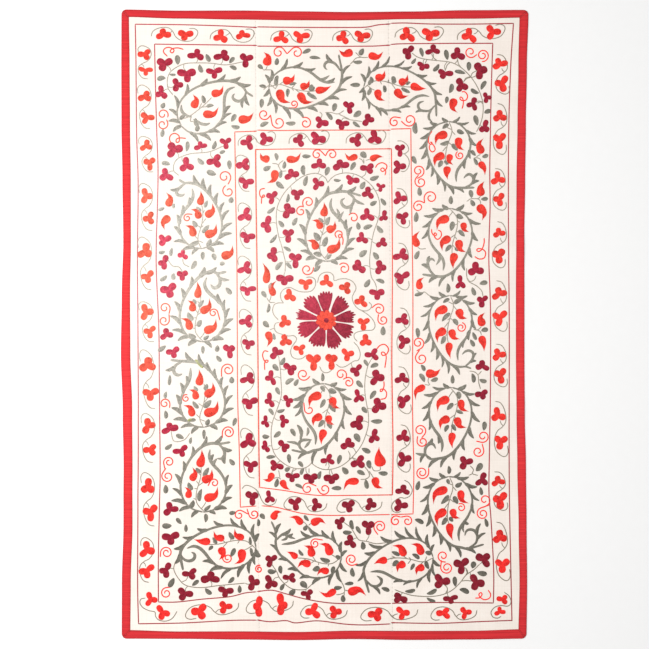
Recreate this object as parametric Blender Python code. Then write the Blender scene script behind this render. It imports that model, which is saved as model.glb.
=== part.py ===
"""An embroidered suzani cloth, laid flat: three narrow loom-width cotton panels sewn side by side, and
a red cotton binding of four strips, mitred at the corners.

Metres, +Z up. X runs across the cloth and Y along it. The origin is under the middle of the cloth, at
the height of the surface that it lies on. The needlework itself is thread, finer than these solids.
"""

import math
from collections import namedtuple

import bmesh
import bpy
from mathutils import Vector

MM = 0.001

# ---------------------------------------------------------------- driving dimensions
CLOTH_LENGTH = 2.200  # along Y, over the binding
CLOTH_WIDTH = 1.422  # along X, over the binding
GROUND_THICK = 1.5 * MM  # the cotton with its needlework
BINDING_THICK = 2.3 * MM  # folded double over the ground's raw edge
BINDING_OUTER_FOLD = 1.7 * MM  # its thickness along the outer fold
BINDING_INNER_HEM = 1.9 * MM  # and along the line where it is stitched down
PIECE_GAP = 0.3 * MM  # between neighbours
CORNER_RADIUS = 16 * MM  # of the turned corners

HALF_LENGTH = CLOTH_LENGTH / 2
HALF_WIDTH = CLOTH_WIDTH / 2
HALF_GAP = PIECE_GAP / 2

# The loom-width panels, from left to right, and how many cells their sheet has across.
Panel = namedtuple("Panel", "name cells_across")
PANELS = (
    Panel("ground_panel_left", 12),
    Panel("ground_panel_middle", 13),
    Panel("ground_panel_right", 13),
)
CELLS_ALONG = 60
ROWS_END = 1.032  # how far from the middle the net's even rows go, short of the foot and head lines

# The two seams between them lean a little: where each starts at the foot and ends at the head.
Seam = namedtuple("Seam", "foot_x head_x")
SEAMS = (
    Seam(-0.228, -0.242),
    Seam(0.237, 0.2225),
)

# The long sides, every 200 mm: how far the edge lies inside the cloth's box, and the strip's width.
LongEdge = namedtuple("LongEdge", "along left_in left_width right_in right_width")
LONG_EDGES = (
    LongEdge(-1.1, 3.0 * MM, 30.0 * MM, 7.0 * MM, 28.0 * MM),
    LongEdge(-0.9, 3.5 * MM, 31.0 * MM, 5.0 * MM, 26.0 * MM),
    LongEdge(-0.7, 9.0 * MM, 31.5 * MM, 7.0 * MM, 27.0 * MM),
    LongEdge(-0.5, 9.5 * MM, 31.0 * MM, 9.0 * MM, 29.5 * MM),
    LongEdge(-0.3, 6.5 * MM, 33.0 * MM, 13.5 * MM, 28.0 * MM),
    LongEdge(-0.1, 0.0 * MM, 33.0 * MM, 14.5 * MM, 29.0 * MM),
    LongEdge(0.1, 3.0 * MM, 29.0 * MM, 14.5 * MM, 29.0 * MM),
    LongEdge(0.3, 8.5 * MM, 26.5 * MM, 15.0 * MM, 27.5 * MM),
    LongEdge(0.5, 5.5 * MM, 29.0 * MM, 12.0 * MM, 29.5 * MM),
    LongEdge(0.7, 2.0 * MM, 30.0 * MM, 9.5 * MM, 28.5 * MM),
    LongEdge(0.9, 1.5 * MM, 29.0 * MM, 6.0 * MM, 29.0 * MM),
    LongEdge(1.1, 2.0 * MM, 26.0 * MM, 0.0 * MM, 31.0 * MM),
)

# The short sides, about every 200 mm, in the same way.
ShortEdge = namedtuple("ShortEdge", "along foot_in foot_width head_in head_width")
SHORT_EDGES = (
    ShortEdge(-0.711, 5.0 * MM, 30.0 * MM, 0.0 * MM, 26.0 * MM),
    ShortEdge(-0.5, 4.5 * MM, 25.0 * MM, 4.0 * MM, 28.0 * MM),
    ShortEdge(-0.3, 2.0 * MM, 28.0 * MM, 3.5 * MM, 32.0 * MM),
    ShortEdge(-0.1, 0.0 * MM, 28.0 * MM, 6.5 * MM, 31.5 * MM),
    ShortEdge(0.1, 3.5 * MM, 29.0 * MM, 9.0 * MM, 29.5 * MM),
    ShortEdge(0.3, 0.5 * MM, 31.0 * MM, 7.0 * MM, 27.0 * MM),
    ShortEdge(0.5, 2.0 * MM, 30.0 * MM, 2.5 * MM, 30.0 * MM),
    ShortEdge(0.711, 5.0 * MM, 33.0 * MM, 1.5 * MM, 27.0 * MM),
)

# Soft ridges where the cloth doesn't lie quite down. Bearing is the ridge's own run, in degrees from +X.
Ridge = namedtuple("Ridge", "x y bearing length width height")
RIDGES = (
    Ridge(-0.62, 0.335, 4, 0.34, 0.15, 2.6 * MM),  # left edge, upper dip
    Ridge(-0.62, -0.590, -7, 0.34, 0.16, 3.0 * MM),  # left edge, lower dip
    Ridge(-0.64, -0.350, 8, 0.26, 0.13, 1.8 * MM),
    Ridge(0.63, 0.270, -5, 0.32, 0.16, 2.4 * MM),  # right edge, waist
    Ridge(0.64, -0.300, 6, 0.28, 0.14, 1.8 * MM),
    Ridge(0.12, 0.970, 88, 0.34, 0.16, 2.4 * MM),  # head, middle
    Ridge(-0.245, 0.900, 92, 0.40, 0.13, 1.5 * MM),  # beside the left seam
    Ridge(0.46, 0.960, 97, 0.30, 0.15, 1.8 * MM),
    Ridge(-0.19, -0.930, 82, 0.36, 0.16, 3.0 * MM),  # foot, where the frame lines wave
    Ridge(0.01, -0.980, 95, 0.26, 0.14, 2.0 * MM),
    Ridge(0.44, -0.950, 84, 0.30, 0.15, 1.6 * MM),
    Ridge(0.205, -0.030, 92, 0.36, 0.13, 2.0 * MM),  # creases left from folding
    Ridge(0.19, 0.420, 86, 0.42, 0.14, 1.3 * MM),
    Ridge(-0.40, 0.060, 3, 0.36, 0.14, 1.4 * MM),
    Ridge(-0.19, -0.450, 94, 0.40, 0.14, 1.4 * MM),
    Ridge(0.46, 0.620, 12, 0.30, 0.14, 1.6 * MM),
)


# ---------------------------------------------------------------- the cloth's outline
def eased(table, column, along):
    """A column of a table between its stations, level at each of them."""
    for low, high in zip(table, table[1:]):
        if along <= high.along:
            break
    share = min(max((along - low.along) / (high.along - low.along), 0.0), 1.0)
    share = share * share * (3 - 2 * share)
    start, end = getattr(low, column), getattr(high, column)
    return start + (end - start) * share


def corner_turn(from_corner):
    """How far the outer edge draws in near a corner, where it turns on CORNER_RADIUS."""
    if from_corner >= CORNER_RADIUS:
        return 0.0
    reach = CORNER_RADIUS - from_corner
    return CORNER_RADIUS - math.sqrt(CORNER_RADIUS**2 - reach**2)


def left_outer(y):
    return -HALF_WIDTH + eased(LONG_EDGES, "left_in", y)


def left_inner(y):
    return left_outer(y) + eased(LONG_EDGES, "left_width", y)


def right_outer(y):
    return HALF_WIDTH - eased(LONG_EDGES, "right_in", y)


def right_inner(y):
    return right_outer(y) - eased(LONG_EDGES, "right_width", y)


def foot_outer(x):
    return -HALF_LENGTH + eased(SHORT_EDGES, "foot_in", x)


def foot_inner(x):
    return foot_outer(x) + eased(SHORT_EDGES, "foot_width", x)


def head_outer(x):
    return HALF_LENGTH - eased(SHORT_EDGES, "head_in", x)


def head_inner(x):
    return head_outer(x) - eased(SHORT_EDGES, "head_width", x)


def seam_line(seam):
    """The seam's x at a height y."""

    def at(y):
        return seam.foot_x + (seam.head_x - seam.foot_x) * (y / CLOTH_LENGTH + 0.5)

    return at


PANEL_SIDES = (left_inner, *(seam_line(seam) for seam in SEAMS), right_inner)


def lift(x, y):
    """How high the cloth's underside stands off the surface."""
    height = 0.0
    for ridge in RIDGES:
        turn = math.radians(ridge.bearing)
        away = Vector((x - ridge.x, y - ridge.y))
        run = abs(away.dot(Vector((math.cos(turn), math.sin(turn))))) / (ridge.length / 2)
        side = abs(away.dot(Vector((-math.sin(turn), math.cos(turn))))) / (ridge.width / 2)
        if run < 1 and side < 1:
            height += ridge.height * math.cos(run * math.pi / 2) ** 2 * math.cos(side * math.pi / 2) ** 2
    return height


# ---------------------------------------------------------------- the net of points
def between(low, high, share):
    return low + (high - low) * share


def on_rim(low_side, high_side, share, rim, y):
    """The point of a foot or head line that lies at this share of a panel's width."""
    for _ in range(4):
        x = between(low_side(y), high_side(y), share)
        y = rim(x)
    return Vector((x, y))


def panel_point(index, column, row):
    """A point of a panel's net, before the gaps are taken off."""
    low_side, high_side = PANEL_SIDES[index], PANEL_SIDES[index + 1]
    share = column / PANELS[index].cells_across
    if row == 0:
        return on_rim(low_side, high_side, share, foot_inner, -HALF_LENGTH)
    if row == CELLS_ALONG:
        return on_rim(low_side, high_side, share, head_inner, HALF_LENGTH)
    y = between(-ROWS_END, ROWS_END, (row - 1) / (CELLS_ALONG - 2))
    return Vector((between(low_side(y), high_side(y), share), y))


def panel_grid(index):
    """Rows of points from foot to head, drawn in by half a gap at the rim."""
    across = PANELS[index].cells_across
    rows = []
    for row in range(CELLS_ALONG + 1):
        points = [panel_point(index, column, row) for column in range(across + 1)]
        points[0].x += HALF_GAP
        points[-1].x -= HALF_GAP
        for point in points:
            point.y += HALF_GAP * ((row == 0) - (row == CELLS_ALONG))
        rows.append(points)
    return rows


def rim_stations(row):
    """The points of the foot or head line, from left to right, each seam once."""
    points = [panel_point(0, 0, row)]
    for index, panel in enumerate(PANELS):
        points += [panel_point(index, column, row) for column in range(1, panel.cells_across + 1)]
    return points


def side_stations(index, column):
    """The points of a side's inner line, from foot to head."""
    return [panel_point(index, column, row) for row in range(CELLS_ALONG + 1)]


def strip_grid(inner_line, outer, along, outward):
    """Rows of (outer, middle, inner) points for a binding strip. inner_line runs from corner to corner, outer gives
    the outer edge at a place along the strip, along is the strip's axis (0 for X, 1 for Y), and outward is -1 or 1,
    the way from the cloth's middle across the strip."""
    across = 1 - along
    first, last = inner_line[0], inner_line[-1]
    ends = (foot_outer, head_outer) if along else (left_outer, right_outer)
    corners = [end(inner[across]) for end, inner in zip(ends, (first, last))]

    def outer_point(place):
        from_corner = min(place - corners[0], corners[1] - place)
        point = Vector((0, 0))
        point[along] = place
        point[across] = outer(place) - outward * corner_turn(max(from_corner, 0.0))
        return point

    # The mitre, then two stations round the turned corner, then the inner line's own stations.
    turn = CORNER_RADIUS * (1 - math.sin(math.radians(45)))
    half_turn = CORNER_RADIUS * (1 - math.sin(math.radians(22.5)))
    stations = [(first, corners[0] + turn)]
    for share, reach in ((1 / 3, half_turn), (2 / 3, CORNER_RADIUS)):
        stations.append((first.lerp(inner_line[1], share), corners[0] + reach))
    stations += [(inner, inner[along]) for inner in inner_line[1:-1]]
    for share, reach in ((2 / 3, CORNER_RADIUS), (1 / 3, half_turn)):
        stations.append((last.lerp(inner_line[-2], share), corners[1] - reach))
    stations.append((last, corners[1] - turn))

    mitre_gap = HALF_GAP * math.sqrt(2)
    rows = []
    for number, (inner, place) in enumerate(stations):
        inner, edge = inner.copy(), outer_point(place)
        inner[across] += outward * HALF_GAP
        shift = mitre_gap * ((number == 0) - (number == len(stations) - 1))
        inner[along] += shift
        edge[along] += shift
        rows.append([edge, edge.lerp(inner, 0.5), inner])
    return rows


# ---------------------------------------------------------------- solids
def cotton(name, colour, roughness):
    material = bpy.data.materials.new(name)
    material.use_nodes = True
    shader = material.node_tree.nodes["Principled BSDF"]
    shader.inputs["Base Color"].default_value = (*colour, 1.0)
    shader.inputs["Roughness"].default_value = roughness
    shader.inputs["Metallic"].default_value = 0.0
    return material


def sheet(name, rows, thick_across, material):
    """A closed sheet over rows of (x, y) points. thick_across gives the thickness of each column."""
    mesh_in_work = bmesh.new()
    points, thickness = [], {}
    for row in rows:
        line = [mesh_in_work.verts.new((point.x, point.y, lift(point.x, point.y))) for point in row]
        points.append(line)
    for low, high in zip(points, points[1:]):
        for column in range(len(low) - 1):
            mesh_in_work.faces.new((low[column], low[column + 1], high[column + 1], high[column]))
    for line in points:
        for column, vert in enumerate(line):
            thickness[tuple(vert.co)] = thick_across[column]
    raised = bmesh.ops.extrude_face_region(mesh_in_work, geom=mesh_in_work.faces[:], use_keep_orig=True)
    for item in raised["geom"]:
        if isinstance(item, bmesh.types.BMVert):
            item.co.z += thickness[tuple(item.co)]
    bmesh.ops.recalc_face_normals(mesh_in_work, faces=mesh_in_work.faces[:])

    mesh = bpy.data.meshes.new(name)
    mesh_in_work.to_mesh(mesh)
    mesh_in_work.free()
    mesh.materials.append(material)
    mesh.shade_smooth()
    mesh.set_sharp_from_angle(angle=math.radians(40))
    made = bpy.data.objects.new(name, mesh)
    bpy.context.collection.objects.link(made)
    return made


def make_ground():
    undyed = cotton("undyed_cotton", (0.88, 0.82, 0.76), 0.9)
    for index, panel in enumerate(PANELS):
        sheet(panel.name, panel_grid(index), [GROUND_THICK] * (panel.cells_across + 1), undyed)


def make_binding():
    red = cotton("red_cotton", (0.62, 0.03, 0.04), 0.85)
    section = (BINDING_OUTER_FOLD, BINDING_THICK, BINDING_INNER_HEM)
    last = len(PANELS) - 1
    strips = (
        ("binding_left", side_stations(0, 0), left_outer, 1, -1),
        ("binding_right", side_stations(last, PANELS[last].cells_across), right_outer, 1, 1),
        ("binding_foot", rim_stations(0), foot_outer, 0, -1),
        ("binding_head", rim_stations(CELLS_ALONG), head_outer, 0, 1),
    )
    for name, inner_line, outer, along, outward in strips:
        sheet(name, strip_grid(inner_line, outer, along, outward), section, red)


def main():
    for left_over in list(bpy.data.objects):
        bpy.data.objects.remove(left_over, do_unlink=True)
    make_ground()
    make_binding()


main()
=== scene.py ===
# %% [markdown]
# # A suzani, dressed
# A suzani is a large cover from Central Asia: plain cotton, sewn together from a few loom widths, with
# flowers and curling leaves worked over it in silk chain stitch, and a coloured binding round the edge.
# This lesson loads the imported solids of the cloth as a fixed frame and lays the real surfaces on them:
# the soft ground, the folded binding, its sewing, and then every stitched motif as raised thread.

# %% The frame
import collections
import functools
import math

import bpy
import numpy as np
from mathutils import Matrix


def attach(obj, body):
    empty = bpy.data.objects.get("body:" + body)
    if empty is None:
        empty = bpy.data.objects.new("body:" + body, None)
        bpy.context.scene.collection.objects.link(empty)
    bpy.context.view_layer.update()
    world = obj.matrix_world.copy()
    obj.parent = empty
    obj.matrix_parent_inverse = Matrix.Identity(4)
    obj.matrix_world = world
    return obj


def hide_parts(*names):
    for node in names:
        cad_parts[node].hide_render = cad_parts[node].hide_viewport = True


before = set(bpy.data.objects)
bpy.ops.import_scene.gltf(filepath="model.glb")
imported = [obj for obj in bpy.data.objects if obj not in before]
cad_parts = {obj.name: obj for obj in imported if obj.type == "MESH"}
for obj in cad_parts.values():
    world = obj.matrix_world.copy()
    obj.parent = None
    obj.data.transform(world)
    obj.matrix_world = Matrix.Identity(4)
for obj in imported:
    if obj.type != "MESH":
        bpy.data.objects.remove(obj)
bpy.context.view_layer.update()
print("solids:", sorted(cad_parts))

# %% [markdown]
# ## Sizes
# The cloth is 2.2 m long. The photograph looks straight down on it, so one pixel is the same length of
# cloth everywhere, and a motif can be placed by naming the pixel that its middle falls on. All the tables
# below give places in pixels of the photograph, and sizes in pixels too where they sit beside a place.
# In every table the numbers of a row are joined by commas, and a bar comes between two lists.

# %% Driving sizes
MM = 0.001
CLOTH_LENGTH = 2.200
CLOTH_WIDTH = 1.422
CLOTH_LENGTH_PX = 630.4  # the same length, counted in pixels of the photograph
PIXEL = CLOTH_LENGTH / CLOTH_LENGTH_PX
CENTRE_PX = 324.65
CENTRE_PY = 324.70
HALF_LENGTH = CLOTH_LENGTH / 2
HALF_WIDTH = CLOTH_WIDTH / 2

GROUND_THICK = 1.5 * MM
PIECE_GAP = 0.3 * MM
CORNER_RADIUS = 16 * MM


def on_cloth(px, py):
    """The place on the cloth, in metres from its middle, that a pixel of the photograph shows."""
    return np.array([(px - CENTRE_PX) * PIXEL, (CENTRE_PY - py) * PIXEL])


def groups(text):
    """The groups of numbers in a text, each given as 'x,y'."""
    return [tuple(map(float, group.split(","))) for group in text.split()]


def table(columns, text):
    """The groups of numbers in a text, as rows with named columns. A column may give its default."""
    names = [column.split("=")[0] for column in columns.split()]
    defaults = [float(column.split("=")[1]) for column in columns.split() if "=" in column]
    Row = collections.namedtuple("Row", names, defaults=defaults)
    return [Row(*group) for group in groups(text)]


print(f"one pixel of the photograph is {PIXEL / MM:.2f} mm of cloth")

# %% [markdown]
# ## The lie of the cloth
# The cloth lies nearly flat, but hand-made cloth never lies quite flat. A few long soft ridges run where
# it doesn't touch the floor, and small waves lie between them, where the stitching draws the cotton in.
# Everything above the floor reads its height from the same functions, so thread and cloth can't part.

# %% Heights
RIDGES = table("x y bearing length width height", """
-0.62,0.335,4,0.34,0.15,2.6 -0.62,-0.590,-7,0.34,0.16,3.0 -0.64,-0.350,8,0.26,0.13,1.8
0.63,0.270,-5,0.32,0.16,2.4 0.64,-0.300,6,0.28,0.14,1.8 0.12,0.970,88,0.34,0.16,2.4
-0.245,0.900,92,0.40,0.13,1.5 0.46,0.960,97,0.30,0.15,1.8 -0.19,-0.930,82,0.36,0.16,3.0
0.01,-0.980,95,0.26,0.14,2.0 0.44,-0.950,84,0.30,0.15,1.6 0.205,-0.030,92,0.36,0.13,2.0
0.19,0.420,86,0.42,0.14,1.3 -0.40,0.060,3,0.36,0.14,1.4 -0.19,-0.450,94,0.40,0.14,1.4
0.46,0.620,12,0.30,0.14,1.6
""")
WAVES = table("across_x across_y start height", """
9.1,3.7,0.4,0.11 -4.6,8.3,1.9,0.10 13.2,-6.1,3.3,0.07 5.2,15.8,5.0,0.06 -17.4,10.9,0.8,0.04
21.7,14.3,2.6,0.03
""")


def lift(x, y):
    """How far the underside of the cloth stands off the floor: the ridges of the solids, in metres."""
    height = np.zeros_like(x)
    for ridge in RIDGES:
        turn = math.radians(ridge.bearing)
        run = (x - ridge.x) * math.cos(turn) + (y - ridge.y) * math.sin(turn)
        side = (y - ridge.y) * math.cos(turn) - (x - ridge.x) * math.sin(turn)
        run = np.clip(np.abs(run) / (ridge.length / 2), 0, 1)
        side = np.clip(np.abs(side) / (ridge.width / 2), 0, 1)
        height = height + ridge.height * MM * (np.cos(run * math.pi / 2) * np.cos(side * math.pi / 2)) ** 2
    return height


def waves(x, y):
    """The small waves between the ridges, from 0 up to about half a millimetre."""
    height = np.zeros_like(x)
    for wave in WAVES:
        turn = x * wave.across_x * 2 + y * wave.across_y * 2 + wave.start
        height = height + wave.height * (1 + np.sin(turn))
    return height * MM


def cloth_top(x, y):
    """The height of the ground's upper face, on which the thread lies."""
    return lift(x, y) + waves(x, y) + GROUND_THICK


# %% [markdown]
# The edges were cut and folded by hand, so each wanders by a few millimetres. The solids carry that
# outline as a short table for each pair of edges, and this script repeats it. On every side the binding
# runs from its outer fold, which is the edge of the cloth, in to the hem where it is sewn down.

# %% Edges
LONG_EDGES = table("along left_in left_width right_in right_width", """
-1.1,3,30,7,28 -0.9,3.5,31,5,26 -0.7,9,31.5,7,27 -0.5,9.5,31,9,29.5 -0.3,6.5,33,13.5,28 -0.1,0,33,14.5,29
0.1,3,29,14.5,29 0.3,8.5,26.5,15,27.5 0.5,5.5,29,12,29.5 0.7,2,30,9.5,28.5 0.9,1.5,29,6,29 1.1,2,26,0,31
""")
SHORT_EDGES = table("along foot_in foot_width head_in head_width", """
-0.711,5,30,0,26 -0.5,4.5,25,4,28 -0.3,2,28,3.5,32 -0.1,0,28,6.5,31.5 0.1,3.5,29,9,29.5 0.3,0.5,31,7,27
0.5,2,30,2.5,30 0.711,5,33,1.5,27
""")
SEAMS = table("foot_x head_x", "-0.228,-0.242 0.237,0.2225")
MIDDLE = np.zeros(1)


def eased(rows, column, along):
    """A column of an edge table, eased from row to row at each place along the edge, in metres."""
    places = np.array([row.along for row in rows])
    values = np.array([getattr(row, column) for row in rows])
    step = np.clip(np.searchsorted(places, along) - 1, 0, len(places) - 2)
    share = np.clip((along - places[step]) / (places[step + 1] - places[step]), 0, 1)
    share = share * share * (3 - 2 * share)
    return (values[step] + (values[step + 1] - values[step]) * share) * MM


class Side:
    """One side of the cloth: where its binding starts and ends at each place along it."""

    def __init__(self, name, rows, edge, inward):
        self.name, self.rows, self.edge, self.inward = name, rows, edge, inward
        self.lengthwise = rows is LONG_EDGES

    def outer(self, along):
        return self.edge + self.inward * eased(self.rows, self.name + "_in", along)

    def inner(self, along):
        return self.outer(along) + self.inward * eased(self.rows, self.name + "_width", along)


LEFT = Side("left", LONG_EDGES, -HALF_WIDTH, 1)
RIGHT = Side("right", LONG_EDGES, HALF_WIDTH, -1)
FOOT = Side("foot", SHORT_EDGES, -HALF_LENGTH, 1)
HEAD = Side("head", SHORT_EDGES, HALF_LENGTH, -1)


def seam_x(seam, y):
    return seam.foot_x + (seam.head_x - seam.foot_x) * (y / CLOTH_LENGTH + 0.5)


def apart(first, second):
    """How far apart two edges lie at the middle of the cloth."""
    return abs(float(second(MIDDLE)[0] - first(MIDDLE)[0]))


print(f"the cloth is {apart(LEFT.outer, RIGHT.outer):.3f} m wide at its middle")

# %% [markdown]
# ## Materials
# Colours are written as the hex values that a picture program shows. Blender mixes light, not screen
# values, so one function turns them to linear first. Another adds a node: each of its inputs is a number,
# a socket, or a node whose first output is meant.

# %% Colour and node helpers
def linear(hex_colour):
    """A hex screen colour as linear red, green, blue and a full alpha."""
    screen = [int(hex_colour[i:i + 2], 16) / 255 for i in (0, 2, 4)]
    return [v / 12.92 if v <= 0.04045 else ((v + 0.055) / 1.055) ** 2.4 for v in screen] + [1.0]


def add(material, kind, inputs, **settings):
    """Adds a node with its settings and its inputs, which are constants or links."""
    tree = material.node_tree
    node = tree.nodes.new(kind)
    for name, value in settings.items():
        setattr(node, name, value)
    for place, value in inputs.items():
        if isinstance(value, bpy.types.Node):
            value = value.outputs[0]
        if isinstance(value, bpy.types.NodeSocket):
            tree.links.new(value, node.inputs[place])
        else:
            node.inputs[place].default_value = value
    return node


def new_material(name):
    material = bpy.data.materials.new(name)
    material.use_nodes = True
    material.node_tree.nodes.clear()
    return material


def finish_material(material, **surface):
    """Adds the shader with its inputs, and the output that it feeds."""
    inputs = {name.replace("_", " "): value for name, value in surface.items()}
    shader = add(material, "ShaderNodeBsdfPrincipled", inputs)
    add(material, "ShaderNodeOutputMaterial", {"Surface": shader})
    return material


def set_steps(ramp, steps):
    """Gives a colour ramp its (place, hex colour) steps, from first to last."""
    elements = ramp.color_ramp.elements
    while len(elements) < len(steps):
        elements.new(1.0)
    for element, (place, hex_colour) in zip(elements, steps):
        element.position = place
        element.color = linear(hex_colour)


MATHS = "ShaderNodeMath"
NOISE = "ShaderNodeTexNoise"

# %% [markdown]
# The ground is cream hand-woven cotton. Its yarns are about 0.6 mm, far finer than a pixel of the
# photograph, so the weave is drawn at 1.6 mm, and thick and thin yarns show as faint streaks both ways.

# %% Ground cotton
YARN = 1.6 * MM  # drawn coarser than the real 0.6 mm, so that it shows
SLUB = 5 * MM  # width of the streaks that uneven yarns leave
SLUB_RUN = 160 * MM  # their length
MOTTLE = 90 * MM
WARMTH = 0.24  # how much creamier the cotton is drawn away from the painted glare at the left middle


def streaks(material, coordinates, across, along):
    """Noise drawn out to these two lengths, for thick and thin yarns."""
    mapping = add(material, "ShaderNodeMapping", {"Vector": coordinates, "Scale": (1 / across, 1 / along, 1)})
    return add(material, NOISE, {"Vector": mapping, "Scale": 1.0, "Detail": 2.0, "Roughness": 0.6})


def weave_height(material, coordinates, yarn):
    """Yarns over and under each other: two sets of waves, one along and one across."""
    parts = add(material, "ShaderNodeSeparateXYZ", {0: coordinates})
    warp, weft = [
        add(material, MATHS, {
            0: add(material, MATHS, {0: parts.outputs[way], 1: math.pi / yarn}, operation="MULTIPLY"),
        }, operation="SINE") for way in (0, 1)
    ]
    return add(material, MATHS, {0: warp, 1: weft}, operation="MULTIPLY")


def ground_cotton():
    material = new_material("hand_woven_cotton")
    cloth = add(material, "ShaderNodeUVMap", {}, uv_map="Cloth")
    warp = streaks(material, cloth, SLUB, SLUB_RUN)
    weft = streaks(material, cloth, SLUB_RUN, SLUB)
    yarns = add(material, MATHS, {0: warp, 1: weft}, operation="ADD")
    mottle = add(material, NOISE, {"Vector": cloth, "Scale": 1 / MOTTLE, "Detail": 3.0})
    tone = add(material, MATHS, {0: yarns, 1: 0.3, 2: 0.0}, operation="MULTIPLY_ADD")
    tone = add(material, MATHS, {0: mottle, 1: 0.4, 2: tone}, operation="MULTIPLY_ADD")
    ramp = add(material, "ShaderNodeValToRGB", {"Fac": tone})
    set_steps(ramp, [(0.34, "E3DBD4"), (0.5, "E9E1DA"), (0.66, "EDE7E1")])  # cream, never bleached
    # painted highlight: the cotton is drawn paler at the left middle, where the lamp's glare lies, and
    # creamier away from it
    away_from_glare = add(material, "ShaderNodeAttribute", {}, attribute_name="Shade").outputs["Fac"]
    warmth = add(material, MATHS, {0: away_from_glare, 1: WARMTH, 2: 1.0}, operation="MULTIPLY_ADD")
    cream = add(material, "ShaderNodeHueSaturation", {"Saturation": warmth, "Color": ramp})
    weave = weave_height(material, cloth, YARN)
    height = add(material, MATHS, {0: yarns, 1: 0.6, 2: weave}, operation="MULTIPLY_ADD")
    bump = add(material, "ShaderNodeBump", {"Height": height, "Strength": 0.5, "Distance": 0.15 * MM})
    return finish_material(material, Base_Color=cream, Normal=bump, Roughness=0.92)


GROUND_COTTON = ground_cotton()

# %% [markdown]
# The binding is a strip of thinner red cotton, cut along the cloth and folded over its edge. It was pulled
# as it was sewn, so fine streaks cross it. A painted highlight makes it a little paler where it is proud,
# and painted shade darkens its rims, its mitres and both ends of the cloth.

# %% Binding cotton
PULLED_STREAK = 1.8 * MM
PULLED_RUN = 120 * MM


def binding_cotton():
    material = new_material("dyed_plain_cotton")
    strip = add(material, "ShaderNodeUVMap", {}, uv_map="Cloth")
    fine = streaks(material, strip, PULLED_RUN, PULLED_STREAK)
    broad = streaks(material, strip, 3 * PULLED_RUN, 3 * PULLED_STREAK)
    painted_highlight_and_shade = add(material, "ShaderNodeAttribute", {}, attribute_name="Shade").outputs["Fac"]
    tone = add(material, MATHS, {0: fine, 1: 0.45, 2: painted_highlight_and_shade}, operation="MULTIPLY_ADD")
    tone = add(material, MATHS, {0: broad, 1: 0.55, 2: tone}, operation="MULTIPLY_ADD")
    ramp = add(material, "ShaderNodeValToRGB", {"Fac": tone})
    set_steps(ramp, [(0.2, "A6121A"), (0.42, "C81E26"), (0.55, "D8282E"), (0.75, "E43C3C")])  # madder red
    weave = weave_height(material, strip, YARN / 2)
    height = add(material, MATHS, {0: fine, 1: 3.0, 2: weave}, operation="MULTIPLY_ADD")
    bump = add(material, "ShaderNodeBump", {"Height": height, "Strength": 0.6, "Distance": 0.15 * MM})
    return finish_material(material, Base_Color=ramp, Normal=bump, Roughness=0.85)


BINDING_COTTON = binding_cotton()

# %% [markdown]
# The thread is floss silk, worked in rows of chain stitch. Each shape carries stitch coordinates: along a
# row, counted in links, and across it. The plait of the links is a bump drawn from them. The colours are
# painted paler at the left middle, where the lamp's glare lies, and deeper toward the lower right: a painted
# highlight, with part of it a real difference of dye. Silk dyed in small lots makes one motif a little
# darker than its neighbour.

# %% Silk thread
LINK = 4 * MM  # one link of chain stitch
STRAND = 0.5  # how much each row of links is shifted against the next
LOT = 35 * MM  # how far the tone of one dye lot reaches
LOOSE = 6 * MM  # a group of stitches that catches the light together
GLARE_X, GLARE_Y = -0.54, 0.26  # where the light was strongest
GLARE_WIDTH, GLARE_LENGTH = 1.9, 0.75  # how far from there it reached, across the cloth and along it
GLARE_MOST, GLARE_FALL = 1.04, 1.11


def glare_and_fading(x, y):
    """How much paler the silk is drawn at a place, 1 at the middle of the glare and down to 0: a painted
    highlight, with part of it a real difference of dye.
    """
    across = GLARE_MOST - (x - GLARE_X) / GLARE_WIDTH * GLARE_FALL
    return np.clip(across * np.exp(-((y - GLARE_Y) / GLARE_LENGTH) ** 2), 0, 1)


def silk(name, deep, usual, pale, sheen=0.08):
    """Silk that shows one of three hex colours, or between them, by how much it is painted paler at its
    place.
    """
    material = new_material(name)
    glare_and_fading_share = add(material, "ShaderNodeAttribute", {}, attribute_name="Fade").outputs["Fac"]
    ramp = add(material, "ShaderNodeValToRGB", {"Fac": glare_and_fading_share})
    set_steps(ramp, [(0.0, deep), (0.42, usual), (1.0, pale)])
    place = add(material, "ShaderNodeTexCoord", {}).outputs["Object"]
    lot = add(material, NOISE, {"Vector": place, "Scale": 1 / LOT, "Detail": 2.0})
    loose = add(material, NOISE, {"Vector": place, "Scale": 1 / LOOSE, "Detail": 2.0})
    shade = add(material, "ShaderNodeAttribute", {}, attribute_name="Shade").outputs["Fac"]
    tone = add(material, MATHS, {0: shade, 1: 0.35}, operation="ADD")
    tone = add(material, MATHS, {0: lot, 1: 0.4, 2: tone}, operation="MULTIPLY_ADD")
    tone = add(material, MATHS, {0: loose, 1: 0.9, 2: tone}, operation="MULTIPLY_ADD")
    colour = add(material, "ShaderNodeHueSaturation", {"Value": tone, "Color": ramp})
    stitches = add(material, "ShaderNodeUVMap", {}, uv_map="Stitches")
    row = add(material, "ShaderNodeSeparateXYZ", {0: stitches})
    slant = add(material, MATHS, {0: row.outputs[1], 1: STRAND, 2: row.outputs[0]}, operation="MULTIPLY_ADD")
    angle = add(material, MATHS, {0: slant, 1: 2 * math.pi}, operation="MULTIPLY")
    plait = add(material, MATHS, {0: angle}, operation="SINE")
    bump = add(material, "ShaderNodeBump", {"Height": plait, "Strength": 0.8, "Distance": 0.4 * MM})
    return finish_material(material, Base_Color=colour, Normal=bump, Roughness=0.55, Specular_IOR_Level=0.25,
                           Sheen_Weight=sheen, Sheen_Roughness=0.35)


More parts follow.
